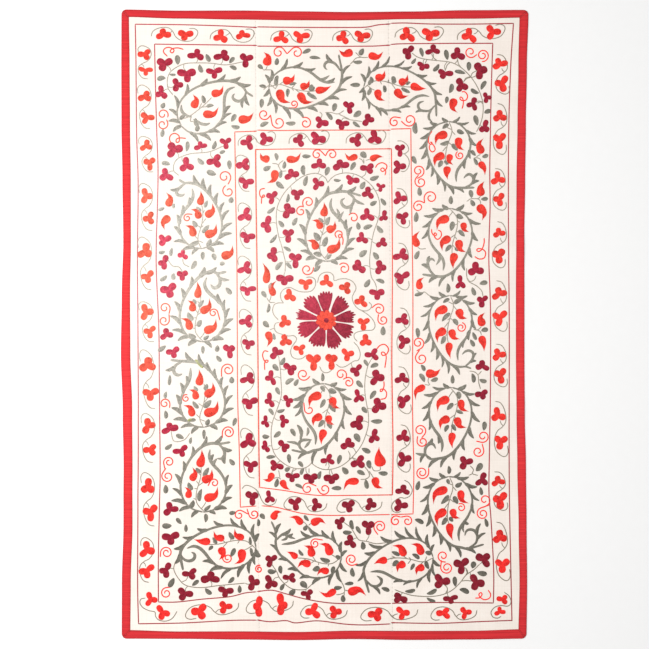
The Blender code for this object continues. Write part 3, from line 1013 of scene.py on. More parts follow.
# %% Flowers of the outer band
GUARD_COLUMNS = "px py one two three wide=1 tall=1"
OUTER_GUARD = table(GUARD_COLUMNS, """
163.5,34.7,105,0,205,1.1,0.9 185.5,34.7,160,15,260,1.15,0.9 221.6,36.9,190,95,-40,1.1
242.5,35.7,105,-5,205,1,0.8 281.5,38,85,195,-40,1.1,0.9 301.2,36.5,145,5,255,1.1 343,38,85,190,-50
362,36,150,5,255,1.15,0.95 407.6,35,110,200,-45,1.1,1.15 430.6,33.6,155,5,255,1.25,1.1
469.6,36,95,190,-50,1.15,1.05 492.4,32,125,0,240,1.15,1.05 500,65,110,20,205,1.1,0.95
502.4,83.8,170,55,285,1.05,1.2 499.6,117,95,-10,210 500,141,140,50,265,1,1.2 497.8,179.5,90,-10,205,1,1.05
499.5,199.3,180,60,280,0.9 499,233.8,100,10,205,0.9,0.85 499,255.6,165,60,275,1.1,1.15
499,294,105,10,215,1.1 500.5,318,150,45,245,1.1,1.15 498.8,355.3,115,10,220 500.6,375.6,155,55,280,1,1.15
498.4,415.8,105,-12,205,1.05,1.15 501,442,140,35,255,1,1.15 497.8,481.8,100,-5,210,0.95,0.9
500.6,500.2,165,50,270,1.1,1.3 499.8,537.4,100,-5,215,1.05,1.15 503,565.2,145,45,265,1.1,1.15
464.8,612.4,125,5,255,0.95,0.85 443,613.5,45,180,-40,1.05,0.9 402.8,612.2,140,-5,250
375.8,614,50,185,-60,1.15,1.1 335,611.8,130,10,250 313,611.8,65,180,-38,1.1,1.2
281,604,100,-10,265,0.95,1.5 258.6,606.4,75,180,280,0.8,1.45 224.9,607,135,5,245
199.5,611.5,50,185,-55,1.25,1.2 147,570.5,35,190,272,1.15,1.05 147,549.4,95,-15,223,1.2,1.15
151,512,170,50,262,1.15,1.2 148,486.6,85,218,-30,1.1,1.2 150,449.7,188,40,-45,1,0.95
148,426.4,98,10,240,1,1.2 151,393.3,165,25,265,1.15,1.1 147,365.3,80,217,-18,1.2,1.25
150,331.3,178,38,270,0.9,0.95 146,312.2,105,8,243,1.1,1.1 148,276,185,45,275,0.95
145,251,78,215,-28,1.15,1.2 149,218.3,195,58,-50,0.9 146,195.9,105,0,243,1,1.05 149.5,162.8,168,35,270,0.9
145.8,145.8,72,215,-20,0.9,0.9 147,117.4,145,-5,240,1.05,0.85 144.5,96.6,58,213,-30,1.05,0.9
145.5,70.3,155,0,270,0.95,0.7 144.5,54.6,43,180,-52,1,0.85
""")
OUTER_CORNERS = table(GUARD_COLUMNS, """
150.7,599,110,-12,232,0.95 162.7,612,128,-20,255,1,1.1 502.3,599.6,165,45,-40,0.85,0.8
499.7,612,90,0,205,0.8,0.7
""")

sew(flower, Needlework("outer_guard_flowers", "orange"), OUTER_GUARD + OUTER_CORNERS)

# %% [markdown]
# The inner band's flowers are crimson. Its table goes round the same way, from the top left corner.

# %% Flowers of the inner band
INNER_GUARD = table(GUARD_COLUMNS, """
247.8,142.4,180,72,-65,1,1.05 265.7,139,125,-8,230 299.4,140.7,83,178,-58,0.95,0.95
318.6,138,140,-15,225,1.15,1.1 356.4,140.2,180,62,-63 375.4,137.6,110,207,-40,1.05,1.1 400,198.8,110,5,215
402.6,217.6,160,42,278,0.95,0.95 401,255.4,63,198,-20,1.15,0.95 402.4,277.6,150,38,240,1.15
402.4,320,62,188,-25,1,0.95 403.6,341.8,120,25,238 401.6,379,85,198,-20,1,0.95
404.2,401.4,150,45,235,1,1.1 403,437.2,68,195,-18 403.8,459.6,112,18,235,1.1,1.05
370.2,504.2,105,-5,240,0.95,0.95 348.8,505.6,167,50,285,1.05 315.6,504.4,108,-20,252,0.9,0.95
295.4,503.4,148,45,280 251,465,158,20,260 247.8,441.3,70,215,-25,1.15,1.2 250,402.2,168,22,262,1.1,1.05
247.8,378.2,58,200,-38,1.05 248.4,343,167,5,260,0.95,0.85 246.2,321.3,50,187,-50
247.8,289.5,165,5,263,1.05,0.85 245,268,58,205,-40,1.05 247.3,236.7,155,5,263,1.1,0.9
245,215,63,213,-35,1.1 246,182,152,5,260,1.1,0.9 243,164.7,50,202,-40,1.1,0.95
""")
INNER_CORNERS = table(GUARD_COLUMNS, """
400,150,140,48,265,0.85,0.9 399,167,125,10,230 251.7,497,145,32,275,1,1.1 269.4,497.2,100,-40,235,0.8,0.9
402.4,490.8,80,182,-22,0.95,0.95 400.6,505.6,118,5,222,1.05
""")

sew(flower, Needlework("inner_guard_flowers", "crimson"), INNER_GUARD + INNER_CORNERS)

# %% [markdown]
# One vine goes round each pair of flowers in both tables. At some corners a vine of its own turns the band.

# %% Vines of both bands
CORNER_VINES = """
145.5,598 141,599 140,603 143,607.5 149,610.5 155,612 155.5,616 159,620 166,621 172,618.5 175.5,614
177,611 | 504,592 509,596 511,602 508,606 501,605.5 495,607 491,612 493,617 498,618 501,616 | 397,141
402,141.3 407,145 408.6,150 405.5,153.4 402,154 | 404,153.5 408,158 409.3,163 407.6,168.5 404,171.6
400.6,171 | 404,480 409,483 412.2,490 409.6,496 404.5,498.2 400.5,497.5 394.5,501 391.5,506 393,511
397.5,512.6 401,511 | 242,489 245,485.5 250,486 256,489.5 259.5,495 262,500.5 265,504 270,505.4 275,503
276.6,498.5
"""

guard_vines = Needlework("guard_vines", "stem")
pairs = OUTER_GUARD + INNER_GUARD
for first, second in zip(pairs[::2], pairs[1::2]):
    guard_vine(guard_vines, first, second)
lines(guard_vines, CORNER_VINES, LINE_WIDTH)

# %% [markdown]
# ## Paisleys
# Fifteen paisleys grow round the field and two stand in it. One is drawn here at rest: it starts at the
# round end and grows along its axis. One side of its outline runs on past the tip, and the other ends in a
# free point inside. Each paisley then has its own place, bearing, length, width and hand.

# %% The paisley at rest
PAISLEY_LENGTH = 70.0  # the units of these tables: one is about a pixel on a paisley of this length
PAISLEY_WIDTH = 45.0
RUNNING_SIDE = table("along across width", """
0,0,1.3 1.5,-9,1.4 4.5,-15,1.6 9.5,-19.8,1.7 16,-23.2,1.8 23,-24.8,1.9 30,-24.9,2.0 37,-23.8,2.0
44,-21.7,2.1 51,-18.8,2.3 57.5,-15.2,2.5 64,-10.2,2.6 68.6,-4.4,2.7 71,2.8,2.5
""")
SHORT_SIDE = table("along across width", """
0,0,1.3 2,7.5,1.4 5.5,12.8,1.6 11,17.3,1.7 17.5,20,1.8 24.5,20.8,1.9 31.5,19.6,2.0 38,16.4,2.1
43.5,11.8,2.5 48,6.6,2.8 52.5,2.6,3.0 58,0.4,2.7 64.5,0.6,0.9
""")
# %% [markdown]
# Inside, a thin stem carries the drops and leaves. There are three ways it was drawn, and in each the drops
# lean to one side or the other.

# %% Stems inside
Inside = collections.namedtuple("Inside", "bend stems")
INSIDES = [
    Inside(-0.2, """
2,-7 10,-4 20,-4 30,-5 40,-7 | 24,-5 29,-8 | 26,-5 31,-2 | 14,-3 10,1 14,4 17,8
"""),
    Inside(0.2, """
1,1 8,3 14,2 20,-1 27,-4 34,-6 41,-7 46,-6.5 | 9,3 6,-2 | 10,2.5 15,6 | 22,-2 24,-5 | 26,-4 31,-9 | 22,-2
26,2 | 36,-6 40,-9
"""),
    Inside(-0.2, """
1,1 5,-4 10,-7.5 18,-8.5 26,-7.5 34,-6 41,-6 46,-6.5 | 12,-7.5 13,-11 | 3,-2 8,1 11,2 | 23,-8 23,-11 |
15,-8 17,-5 | 28,-7 31,-10 | 26,-7.5 31,-2 | 37,-6 40,-9
"""),
]

# %% [markdown]
# The table gives each paisley's place and size, and which stem it has inside. Its toe is how far the free
# point leans, its bow how full the running side is near the tip, and full widens its whole outline.

# %% Places of the paisleys
PAISLEYS = table("px py bearing length width hand inside toe=0 bow=0 full=1", """
181.4,126.2,34,72,43.5,-1,0,-4.5,0,1.17 202.2,248.6,99,66,42.5,1,1,0,0,1.22
201.6,341.8,83,70,45,-1,2,-4.6,0,1.34 204.2,427.2,99,66,44.5,1,1,5,0,1.3
202.9,512,84,68.5,45,-1,2,0,0,1.25 256,547,184,75,42.6,1,2,-6,0,1.25 341.5,558,172,66.5,42,-1,2,7,5.8,1.08
433,557,191,70,43,1,1,3,0,1.1 448,121.6,-84,66,43.4,1,1,2,0,1.08 451.2,208.5,-97,68,43.2,-1,2,0,0,1.12
449.5,295.5,-84,71,43,1,1,1.5,0,1.03 451.8,387.4,-98,71,42.2,-1,2,1,0,1.18
448.5,476.5,-82,71,44,1,1,1.5,0,1.1 268.8,88,4,72,41,1,1,1,0,1.1 363.7,86.8,-8,72,43.6,-1,2
326,261.5,84,69,42,-1,2,-2.2,0,1.22 324,383.5,-97,67,42,-1,2,1,0,1.18
""")

# %% [markdown]
# The next lists have one part for each paisley, in its own units along and across. A drop has its round
# place, its tip and its width. A leaf has its middle, length, width and bearing.

# %% Drops and leaves inside
PAISLEY_DROPS = """
45,-8.5,55,-10,7.8 27,4.5,39.5,5.5,8 22.5,-11,26.5,-19.5,8 |
14,-9.5,22.5,-18.5,8.5 18,7,26.5,13,7.6 35,-12.5,44.5,-18,7.8 35.5,-1.5,42.5,4.5,7.2 49.5,-6,59.5,-8,7.2 |
14,-14,20.5,-22.5,7.6 12.5,5,23.5,11.5,8.6 32.5,-13,39,-18,7.4 31.5,-1.5,43,2.5,8 46.5,-9.5,58.5,-11.5,7.4
 |
14.5,-6.5,24.5,-17.5,9.2 17,10,26,16.5,7.4 34.5,-9.5,44.5,-15.5,8.6 34,3.5,41.5,8.5,7 48.5,-2.5,60.5,-4,8
 |
16,-16,23,-20,6.8 15,4,26.5,12,8.8 34,-13.5,43.5,-14.5,7.4 33.5,-0.5,43.5,4.5,8.4 49.5,-7.5,62.5,-7.5,8.6
 |
13.5,-11.5,18.5,-20,7 13.5,5.5,20.5,16,8.6 32,-12,38,-19,7.2 32,1.5,34.5,10,8 45.5,-9.5,56.5,-12.5,7.6 |
14.6,-16,22.5,-21,7 13.6,5.3,24.5,11.7,8.4 35,-11,44,-16,7.6 32,1,40,7.4,8 49,-4.8,57,-1.6,6.4 |
11,-8.5,18.5,-17.5,8 14,8.5,19.5,14,7.6 28.5,-10.5,37,-19.5,7.8 32,1.5,37.5,7.5,7.8 49,-6.5,58.5,-5,7.4 |
13.5,-6.3,22,-15.3,8.6 22,8.7,31.5,12.7,7.8 35.5,-11.3,45,-18.3,8 38,-2.3,45.5,-0.3,6.8
 51,-6.3,60,-6.8,7.6 |
16,-15,21.5,-20.5,6.6 11.5,5,23,12,8.6 35,-12.5,42.5,-20,8 32,0.5,43.5,4,8 49,-9,60.5,-9.5,8 |
13,-8,22.5,-17,8.8 18,8.5,24,15,8.2 34.5,-11.5,44,-17.5,8.4 37,-1.5,43.5,5,7.6 49.5,-6,61,-6,7.4 |
14,-12,21,-20.5,7.2 13,5,24.5,11.5,8.6 32,-11,37,-20.5,7.8 32,1.5,41.5,6,8.2 47.5,-7.5,58.5,-9.5,7.4 |
12.5,-7,24,-19,8.6 18.5,10,28.5,16,7.4 34,-11,46,-18,8.4 35.5,-0.5,42,5,7.2 49.5,-6,62,-5,7.8 |
10.5,-7,19.5,-17.5,8.6 18,6.5,25.5,12,8.2 30.5,-11.5,41.5,-18.5,8 34,-1,39.5,4.5,7.4 48.5,-6.5,60,-3,7.4 |
13.5,-11.5,18,-18.5,7.8 14.5,4.5,21.5,11,7.6 36.5,-10.5,40.5,-17.5,7.6 33.5,1,43.5,3,8
 48.5,-7.5,59.5,-7,7.8 |
14.5,-13,19,-21.5,7.6 12.5,4,24.5,11.5,8.6 35.5,-10.5,40,-18.5,7.2 33,1,40.5,5,8 49,-7.5,58.5,-8.5,7.8 |
17,-11.5,23.5,-19.5,8 13.5,5.5,25.5,12.5,8.8 36,-9.5,41,-15.5,7.2 35.5,1.5,44.5,6,8 51.5,-5.5,62.5,-5,7.8
"""
PAISLEY_LEAVES = """
32,-10.5,8.5,4.6,-70 34,-0.5,8,4,25 14.5,5.5,9,5,-70 11.5,10.5,7,5,-40 6,-7.5,8,4.4,-10 |
46,-11.5,8,4,-30 42,-3,7,4.4,35 27,4,8,5,25 20,-7,11,5,-50 7,7.5,10,5,100 5,-8,9,5.4,-35 |
39,-12,6,4.4,-40 38,-5,9,4.4,30 24,-14,10,6,-40 18,-4,8,5.4,20 5,-10,9,4.4,-70 5,4,7,4,50 |
42,-8,7,5,-35 42,2,6.5,4,30 24,-7,11,6,-55 25,5,9.5,4.6,30 9,11,8,4,90 5,-4,7,5,-35 |
42,-9,7,4.4,-50 41,-1,11,5,25 25,-15,9,5.4,-35 17,-4,13,5,5 7,-12,9,5.4,20 5,4,9,4,45 |
42,-2,6.5,4,40 38,-10,8,4,-60 22,-14,9,5,-60 22,4,10,5,60 5,-7,9,3.6,-90 5,5,9,3.6,90 |
43,0,8,3.6,45 25,-15,8,6,-30 17,-4,11,5,10 7,-14,8,4.6,-80 4,0,6,4.6,30 |
36,-11,9,4.4,-35 38,-1,8,6,30 22,6,8,4,50 17,-4,9,4.6,-45 7,7,9,4.6,100 4,-5,7,5,-30 |
44,-12.5,8,5,-35 43,-6,6,3.6,40 28,4,9,5,35 22,-6,10,4.6,-80 12,12,8,5,60 5,-3,8,4.4,-60 |
41,-11,5,4,-50 41,-2,9,4.6,35 24,-14,9,4.6,-50 18,-3,10,5.6,5 7,-10,8,5.4,-70 |
43,-12,9,5,-30 27,3,8,5,30 21,-6,12,4.6,-50 7,8,9,5,110 5,-4,8,4,-65 |
39,-8,8,4.4,-40 41,-1,8,4.4,20 23,-12,8,4,-75 19,-1,9.5,5,35 7,-8,8,5.4,-20 |
43,-11,9,5,-40 42,-3,6,4.4,30 22,-7,12,5,-50 24,4,9,5.4,20 9,9,8,5,110 5,-1,6,4,10 |
42,-13,10,4.4,-35 42,-4,6.5,4.6,30 18,-7,9,3.6,-95 8,7,10,4.6,75 |
42,-10,6,3.6,-20 42,-2,8,4,20 28,-11,7.5,5,-95 21,-1,7,4,70 6,-6,8,4,-70 6,4,8,3.6,95 |
41,-10,7,4.4,-50 41,-2,9.5,5,15 24,-13,10,6.4,-40 20,-3,11,6,15 6,-10,9,5.4,-80 5,3,7,4,40 |
43,-11,8,5.4,-35 42,-2,9,5,30 24,-12,11,6,-40 21,-1,10,4.6,20 7,-10,9,6,-80 6,1,7,4.4,-40
"""

# %% [markdown]
# At the tip no two are alike. The first piece of a list is where the running side goes on to, and after
# each slash comes a hook or a branch: the hook that curls back under the tip, and a few small ones.

# %% Tips
RUN_OUT_WIDTH = 2.0
HOOK_WIDTHS = [1.6, 2.1, 2.5, 2.9, 3.0, 2.6, 0.9]  # shared out evenly from a hook's start to its point
PAISLEY_TIPS = """
71,8.5 73.8,16 / 71,7.5 68,10.6 64,12.4 60,12 57.4,9 56.8,5.6 58.4,3.6 60.6,3 / 13.4,1 15,4 17,9 20.6,12.8
 25,14 / 13,-2 9.6,-7 8.6,-13 11.6,-18.4 |
71.6,7.5 76,13 / 71.4,6.5 67.6,13 64.6,16.8 61.6,17.6 59.4,15 59,11.4 60.4,9.4 |
69.8,7.5 72.5,16 / 69.8,6 66,9.8 62,11 58,10.6 55.4,7.6 55.2,4.8 58,2 / 66.5,9.6 64.4,13.5 64.6,20 |
73,12 76,23 / 72.4,12 69.6,18.6 65,21.4 61,20.8 58.8,17.4 59.6,13.4 |
71,9 74,20 / 71.2,8 66.6,13.4 62.4,15.4 58.6,15.2 56,12.6 56.2,8.6 / 48.4,6.6 52,6 56,8.6 |
69.4,19 / 70.4,3 68,7.4 64,9.6 60,9 57.6,6 58,2.4 60.6,0.6 |
71.4,13 74,21 78.5,28.5 / 70.6,9 67.6,13.6 64,17 61,16.4 60,13.4 62.6,11 65.6,10 / 62,16.8 57,14.8 51,13.6
 |
69.6,24 / 70.4,10 66.4,16.4 62,18.6 58,18 55.2,15 56,11 59,8 |
72.6,20 / 71.4,10 69,16.6 65,19.6 61,19.6 58,16.6 58.8,13 61.6,10 |
71,21.6 / 71.6,7 67.4,12.8 63,16 58.6,17.4 54.8,16 54.2,12.6 56.2,10.4 / 48,7.6 53.4,5.6 59.6,8.4 |
71.4,9 73.8,14.6 / 71.6,8 67,14.4 63,17.8 58.6,18 56,14.2 56.6,10 59.2,6.6 |
72.8,12 70.6,16.8 / 72.4,11 69.6,17.4 65,19 61,18 58,15 58.2,11 62,8 / 68.6,18.4 69.8,23 69.2,28.6 |
73,10 71,26 / 72.6,10 69,17.6 64,20.4 60,20.4 56,18 54.6,13.4 56,10 60,8 / 46.6,10 51.4,7 56.6,7.6 |
72,12 70,31 / 70.8,13 66.6,20.6 62.4,23.6 58.4,24 55.6,21 56,17.4 58,15.6 / 50,5.6 55,6 59.6,9 |
74,20 / 71,9 67,14.6 62,16 57.4,15.6 55,12.2 55.6,8.6 60,6 / 68.6,13.4 66.6,18.4 67.2,23.4 70.6,26 |
72.6,13 70,30 / 71.6,15 67.6,22 63,22.6 58.6,20.4 56.6,15.4 59,11 63,9.6 66,13 / 63,22.4 57,20.8 50,20.4 /
 66.6,22.6 63.4,27 61.6,34.5 / 41.2,9.4 46.4,10 52.3,13.1 / 44,7 50.2,7.9 54.5,5.4 |
74,10 73,26 / 73.4,9 70.6,16 66,18.6 62,16.6 60.6,11 60,5.4 / 62,17.6 57,17.4 52,16 / 61,7 65,9.4
 69.5,12.4 / 69,16.6 65.4,22 65,32 / 47.6,11.6 52,10.6 56.6,11.6
"""

# %% [markdown]
# Fifteen to nineteen thorns stand off each outline like barbs. A thorn is given by its tip alone: its root
# is found on the outline, a little before the place that is nearest to the tip.

# %% Thorns
PAISLEY_THORNS = """
-8,-12 -1,-22 11,-31 28,-33 47,-26 64,-19 75,-8 79,5 -10,0 5,24 16,30 28,28 39,23 48,18 51,11 66,22 59,20
 |
-6,-12 1,-24 11,-34 22,-36 36,-35 45,-31 56,-26 66,-20 74,-13 79,-3 -5,12 1,22 12,29 28,26 40,21 49,13
 56,5 67,24 |
-6,-13 -2,-24 8,-31 22,-35 37,-32 51,-27 64,-18 75,-6 76,6 -5,11 5,22 16,28 27,29 37,24 45,18 50,10 |
-5,-13 3,-25 15,-33 29,-34 40,-31 50,-27 60,-20 68,-13 78,-6 82,7 -5,14 3,24 13,30 26,30 39,23 51,17 57,10
 66,30 |
-7,-11 -2,-24 8,-33 21,-33 36,-32 50,-25 66,-17 78,-4 80,11 -1,13 6,24 18,28 31,27 41,22 51,17 60,5 66,23
 |
-4,-14 0,-25 12,-31 22,-33 38,-31 54,-24 68,-16 77,-4 -4,10 2,19 8,28 19,31 35,31 45,22 51,11 77,12 |
-8,-14 -4,-26 9,-31 27,-33 41,-28 55,-20 66,-11 77,4 80,17 -5,9 2,18 13,28 25,27 40,29 47,23 54,19 68,28
 57,24 |
-4,-13 1,-25 11,-35 22,-37 33,-35 48,-32 61,-27 67,-18 78,-7 79,10 -6,11 1,21 8,26 22,29 35,23 44,18 56,10
 59,28 |
-5,-6 -2,-19 4,-27 15,-31 26,-33 37,-32 49,-28 57,-24 66,-18 74,-11 78,-2 77,9 -4,13 3,22 16,28 29,27
 42,19 52,12 66,26 57,25 |
-6,-13 2,-23 12,-33 30,-32 48,-28 62,-22 75,-11 82,3 79,14 -3,10 2,20 11,28 23,28 35,27 51,16 61,24 |
-5,-11 -2,-21 8,-29 18,-33 32,-32 45,-32 54,-26 62,-21 70,-16 77,-10 79,2 -4,12 2,19 10,26 22,27 36,24
 46,15 53,8 67,21 59,22 |
-5,-15 3,-26 14,-33 30,-35 47,-31 60,-23 71,-13 80,0 82,13 78,22 -3,10 2,21 11,29 25,29 37,26 45,18 52,13
 57,6 |
-5,-9 -2,-20 7,-28 21,-33 34,-33 46,-30 57,-25 66,-18 74,-9 81,1 79,17 -3,13 3,21 14,28 28,28 40,21 49,14
 60,30 50,26 |
-6,-9 -3,-20 5,-29 19,-36 32,-36 46,-30 57,-24 68,-18 76,-8 82,6 81,19 -3,15 4,20 20,31 35,26 47,18 65,6
 58,33 |
-5,-13 2,-22 11,-29 21,-35 36,-33 44,-28 60,-21 70,-14 77,-3 79,9 -4,7 0,15 8,23 21,28 27,26 40,21 48,14
 53,19 |
-7,-11 -1,-22 8,-29 20,-34 35,-33 51,-28 64,-18 77,-6 80,9 79,24 -2,13 5,23 16,29 27,29 38,24 45,17 |
-3,-14 3,-25 13,-32 29,-34 45,-28 59,-22 74,-11 85,2 82,18 -4,13 8,27 21,32 29.5,30 38,27 46,23.5
"""
THORN_WIDTH = 3.4
THORN_ROOT = 8.5  # a thorn leaves the outline this far before the place nearest to its tip, in those units
NEAR_ROOT = 0.55  # and this share of it on a hook, or at the round end
THORN_BOW = 0.13
THORN_ENDS = (0.4, 0.62)
THORN_PITCH = 2.4 * MM

paisleys = Needlework("paisley_outlines", "green")


def thorn(root, tip, ahead, width):
    """A thorn that grows out of its branch like a barb: ahead along it first, then outward to its tip."""
    way = tip - root
    lean = ahead - way * (ahead @ way) / (way @ way)
    bow = lean / max(np.linalg.norm(lean), 1e-9) * np.linalg.norm(way) * THORN_BOW
    spine = through([root - way * 0.05, root + way * 0.5 + bow, tip], 6)
    blade(paisleys, spine, width, *THORN_ENDS, around=14, rise=0.95 * FILLED_RISE, pitch=THORN_PITCH)


def sew_thorns(row, at, thorns, outline):
    """The thorns of one paisley, each from the nearest path of its outline."""
    for number, place in enumerate(groups(thorns)):
        tip = at(*place)
        far = [np.linalg.norm(path - tip, axis=1) for path in outline]
        near = int(np.argmin([gaps.min() for gaps in far]))
        run = lengths(outline[near])
        back = THORN_ROOT * row.length / PAISLEY_LENGTH * PIXEL
        if place[0] < 0 or near > 1:
            back = back * NEAR_ROOT
        (root,), (left,) = read(outline[near], [max(run[far[near].argmin()] - back, 0) / run[-1]])
        width = THORN_WIDTH * row.full * PIXEL * (0.85 + 0.3 * chance(row.px, number))
        thorn(root, tip, -left_of(left), width)


# %% [markdown]
# The outline is three rows of stitches wide. The drawing at rest is stretched to the paisley's length and
# width, and turned to its bearing and hand, so the sides, the hooks and all that grows on them fit.

# %% Outline and filling
TOE_START, TOE_END = 40.0, 64.5  # between these a side is drawn to one side of where it lies at rest
OUTLINE_STEP = 5 * MM
TIP_DROP = 45  # a drop past this place lies near the tip, and bends only this share as much as the others
TIP_BEND = 0.3


def laid(row):
    """The function from a place in the drawing at rest to the paisley's place on the cloth."""
    origin, out = on_cloth(row.px, row.py), toward(row.bearing)
    side = left_of(out) * row.hand
    long_unit = row.length / PAISLEY_LENGTH * PIXEL
    wide_unit = row.width / PAISLEY_WIDTH * PIXEL
    return lambda along, across: origin + out * along * long_unit + side * across * wide_unit


def bent(side_points, amount):
    """A side whose run into the curl is drawn this much to one side of where it lies at rest."""
    share = np.clip([(point.along - TOE_START) / (TOE_END - TOE_START) for point in side_points], 0, 1)
    leaning = amount * np.sin(0.75 * math.pi * share)
    return [(point.along, point.across + lean, point.width) for point, lean in zip(side_points, leaning)]


def sew_outline(row, at, tips):
    """The two sides and the hooks of one paisley. It gives their paths."""
    run_out, *hooks = map(groups, tips.split("/"))
    running = bent(RUNNING_SIDE, row.bow) + [(*place, RUN_OUT_WIDTH) for place in run_out]
    pieces = [running, bent(SHORT_SIDE, row.toe)]
    for hook in hooks:
        share = np.linspace(0, 1, len(hook))
        widths = np.interp(share, np.linspace(0, 1, len(HOOK_WIDTHS)), HOOK_WIDTHS)
        pieces.append([(*place, width) for place, width in zip(hook, widths)])
    outline = [through([at(along, across) for along, across, _ in points]) for points in pieces]
    for path, points in zip(outline, pieces):
        widths = np.array([width for _, _, width in points]) * row.full * PIXEL
        line(paisleys, path, widths, rows=3, step=OUTLINE_STEP, rise=FILLED_RISE)
    return outline


paisley_leaves = Needlework("paisley_leaves", "green")
paisley_stems = Needlework("paisley_stems", "stem")
paisley_drops = Needlework("paisley_drops", "orange")


def sew_filling(row, at, drops, leaves):
    """The drops, leaves and stems inside one paisley."""

    def pixel_of(along, across):
        x, y = at(along, across)
        return x / PIXEL + CENTRE_PX, CENTRE_PY - y / PIXEL

    inside = INSIDES[int(row.inside)]
    for along, across, tip_along, tip_across, width in groups(drops):
        bend = -row.hand * inside.bend * (TIP_BEND if along > TIP_DROP else 1)
        drop(paisley_drops, *pixel_of(along, across), *pixel_of(tip_along, tip_across), width, bend)
    for along, across, length, width, bearing in groups(leaves):
        leaf(paisley_leaves, *pixel_of(along, across), length, width, row.bearing + row.hand * bearing)
    for stem in inside.stems.split("|"):
        line(paisley_stems, through([at(*place) for place in groups(stem)]), LINE_WIDTH * PIXEL)


lists = [text.split("|") for text in (PAISLEY_TIPS, PAISLEY_THORNS, PAISLEY_DROPS, PAISLEY_LEAVES)]
for row, tips, thorns, drops, leaves in zip(PAISLEYS, *lists):
    at = laid(row)
    sew_thorns(row, at, thorns, sew_outline(row, at, tips))
    sew_filling(row, at, drops, leaves)
print("paisleys:", len(PAISLEYS))

# %% [markdown]
# The outline of one paisley on the left has taken a yellow-green stain in two places. The stained stitches
# are sewn once more over it, a hair higher.

# %% Stained stitches
STAIN_WIDTH = 3
STAIN_RISE = 1.08 * FILLED_RISE

stained = Needlework("stained_stitches", "stained")
(stained_path,) = curves("195.4,359.6 198.6,363.4 203,367.8")
line(stained, stained_path, STAIN_WIDTH * PIXEL, rows=3, rise=STAIN_RISE)
leaf(stained, 190.6, 420.2, 6.4, 3.6, 10)

# %% [markdown]
# ## Border and field flowers
# Between the paisleys and round the field run thin vines with crimson flowers, each a little different.
# The table gives each flower's middle, the bearings of its three lobes, and how wide and tall it is drawn.

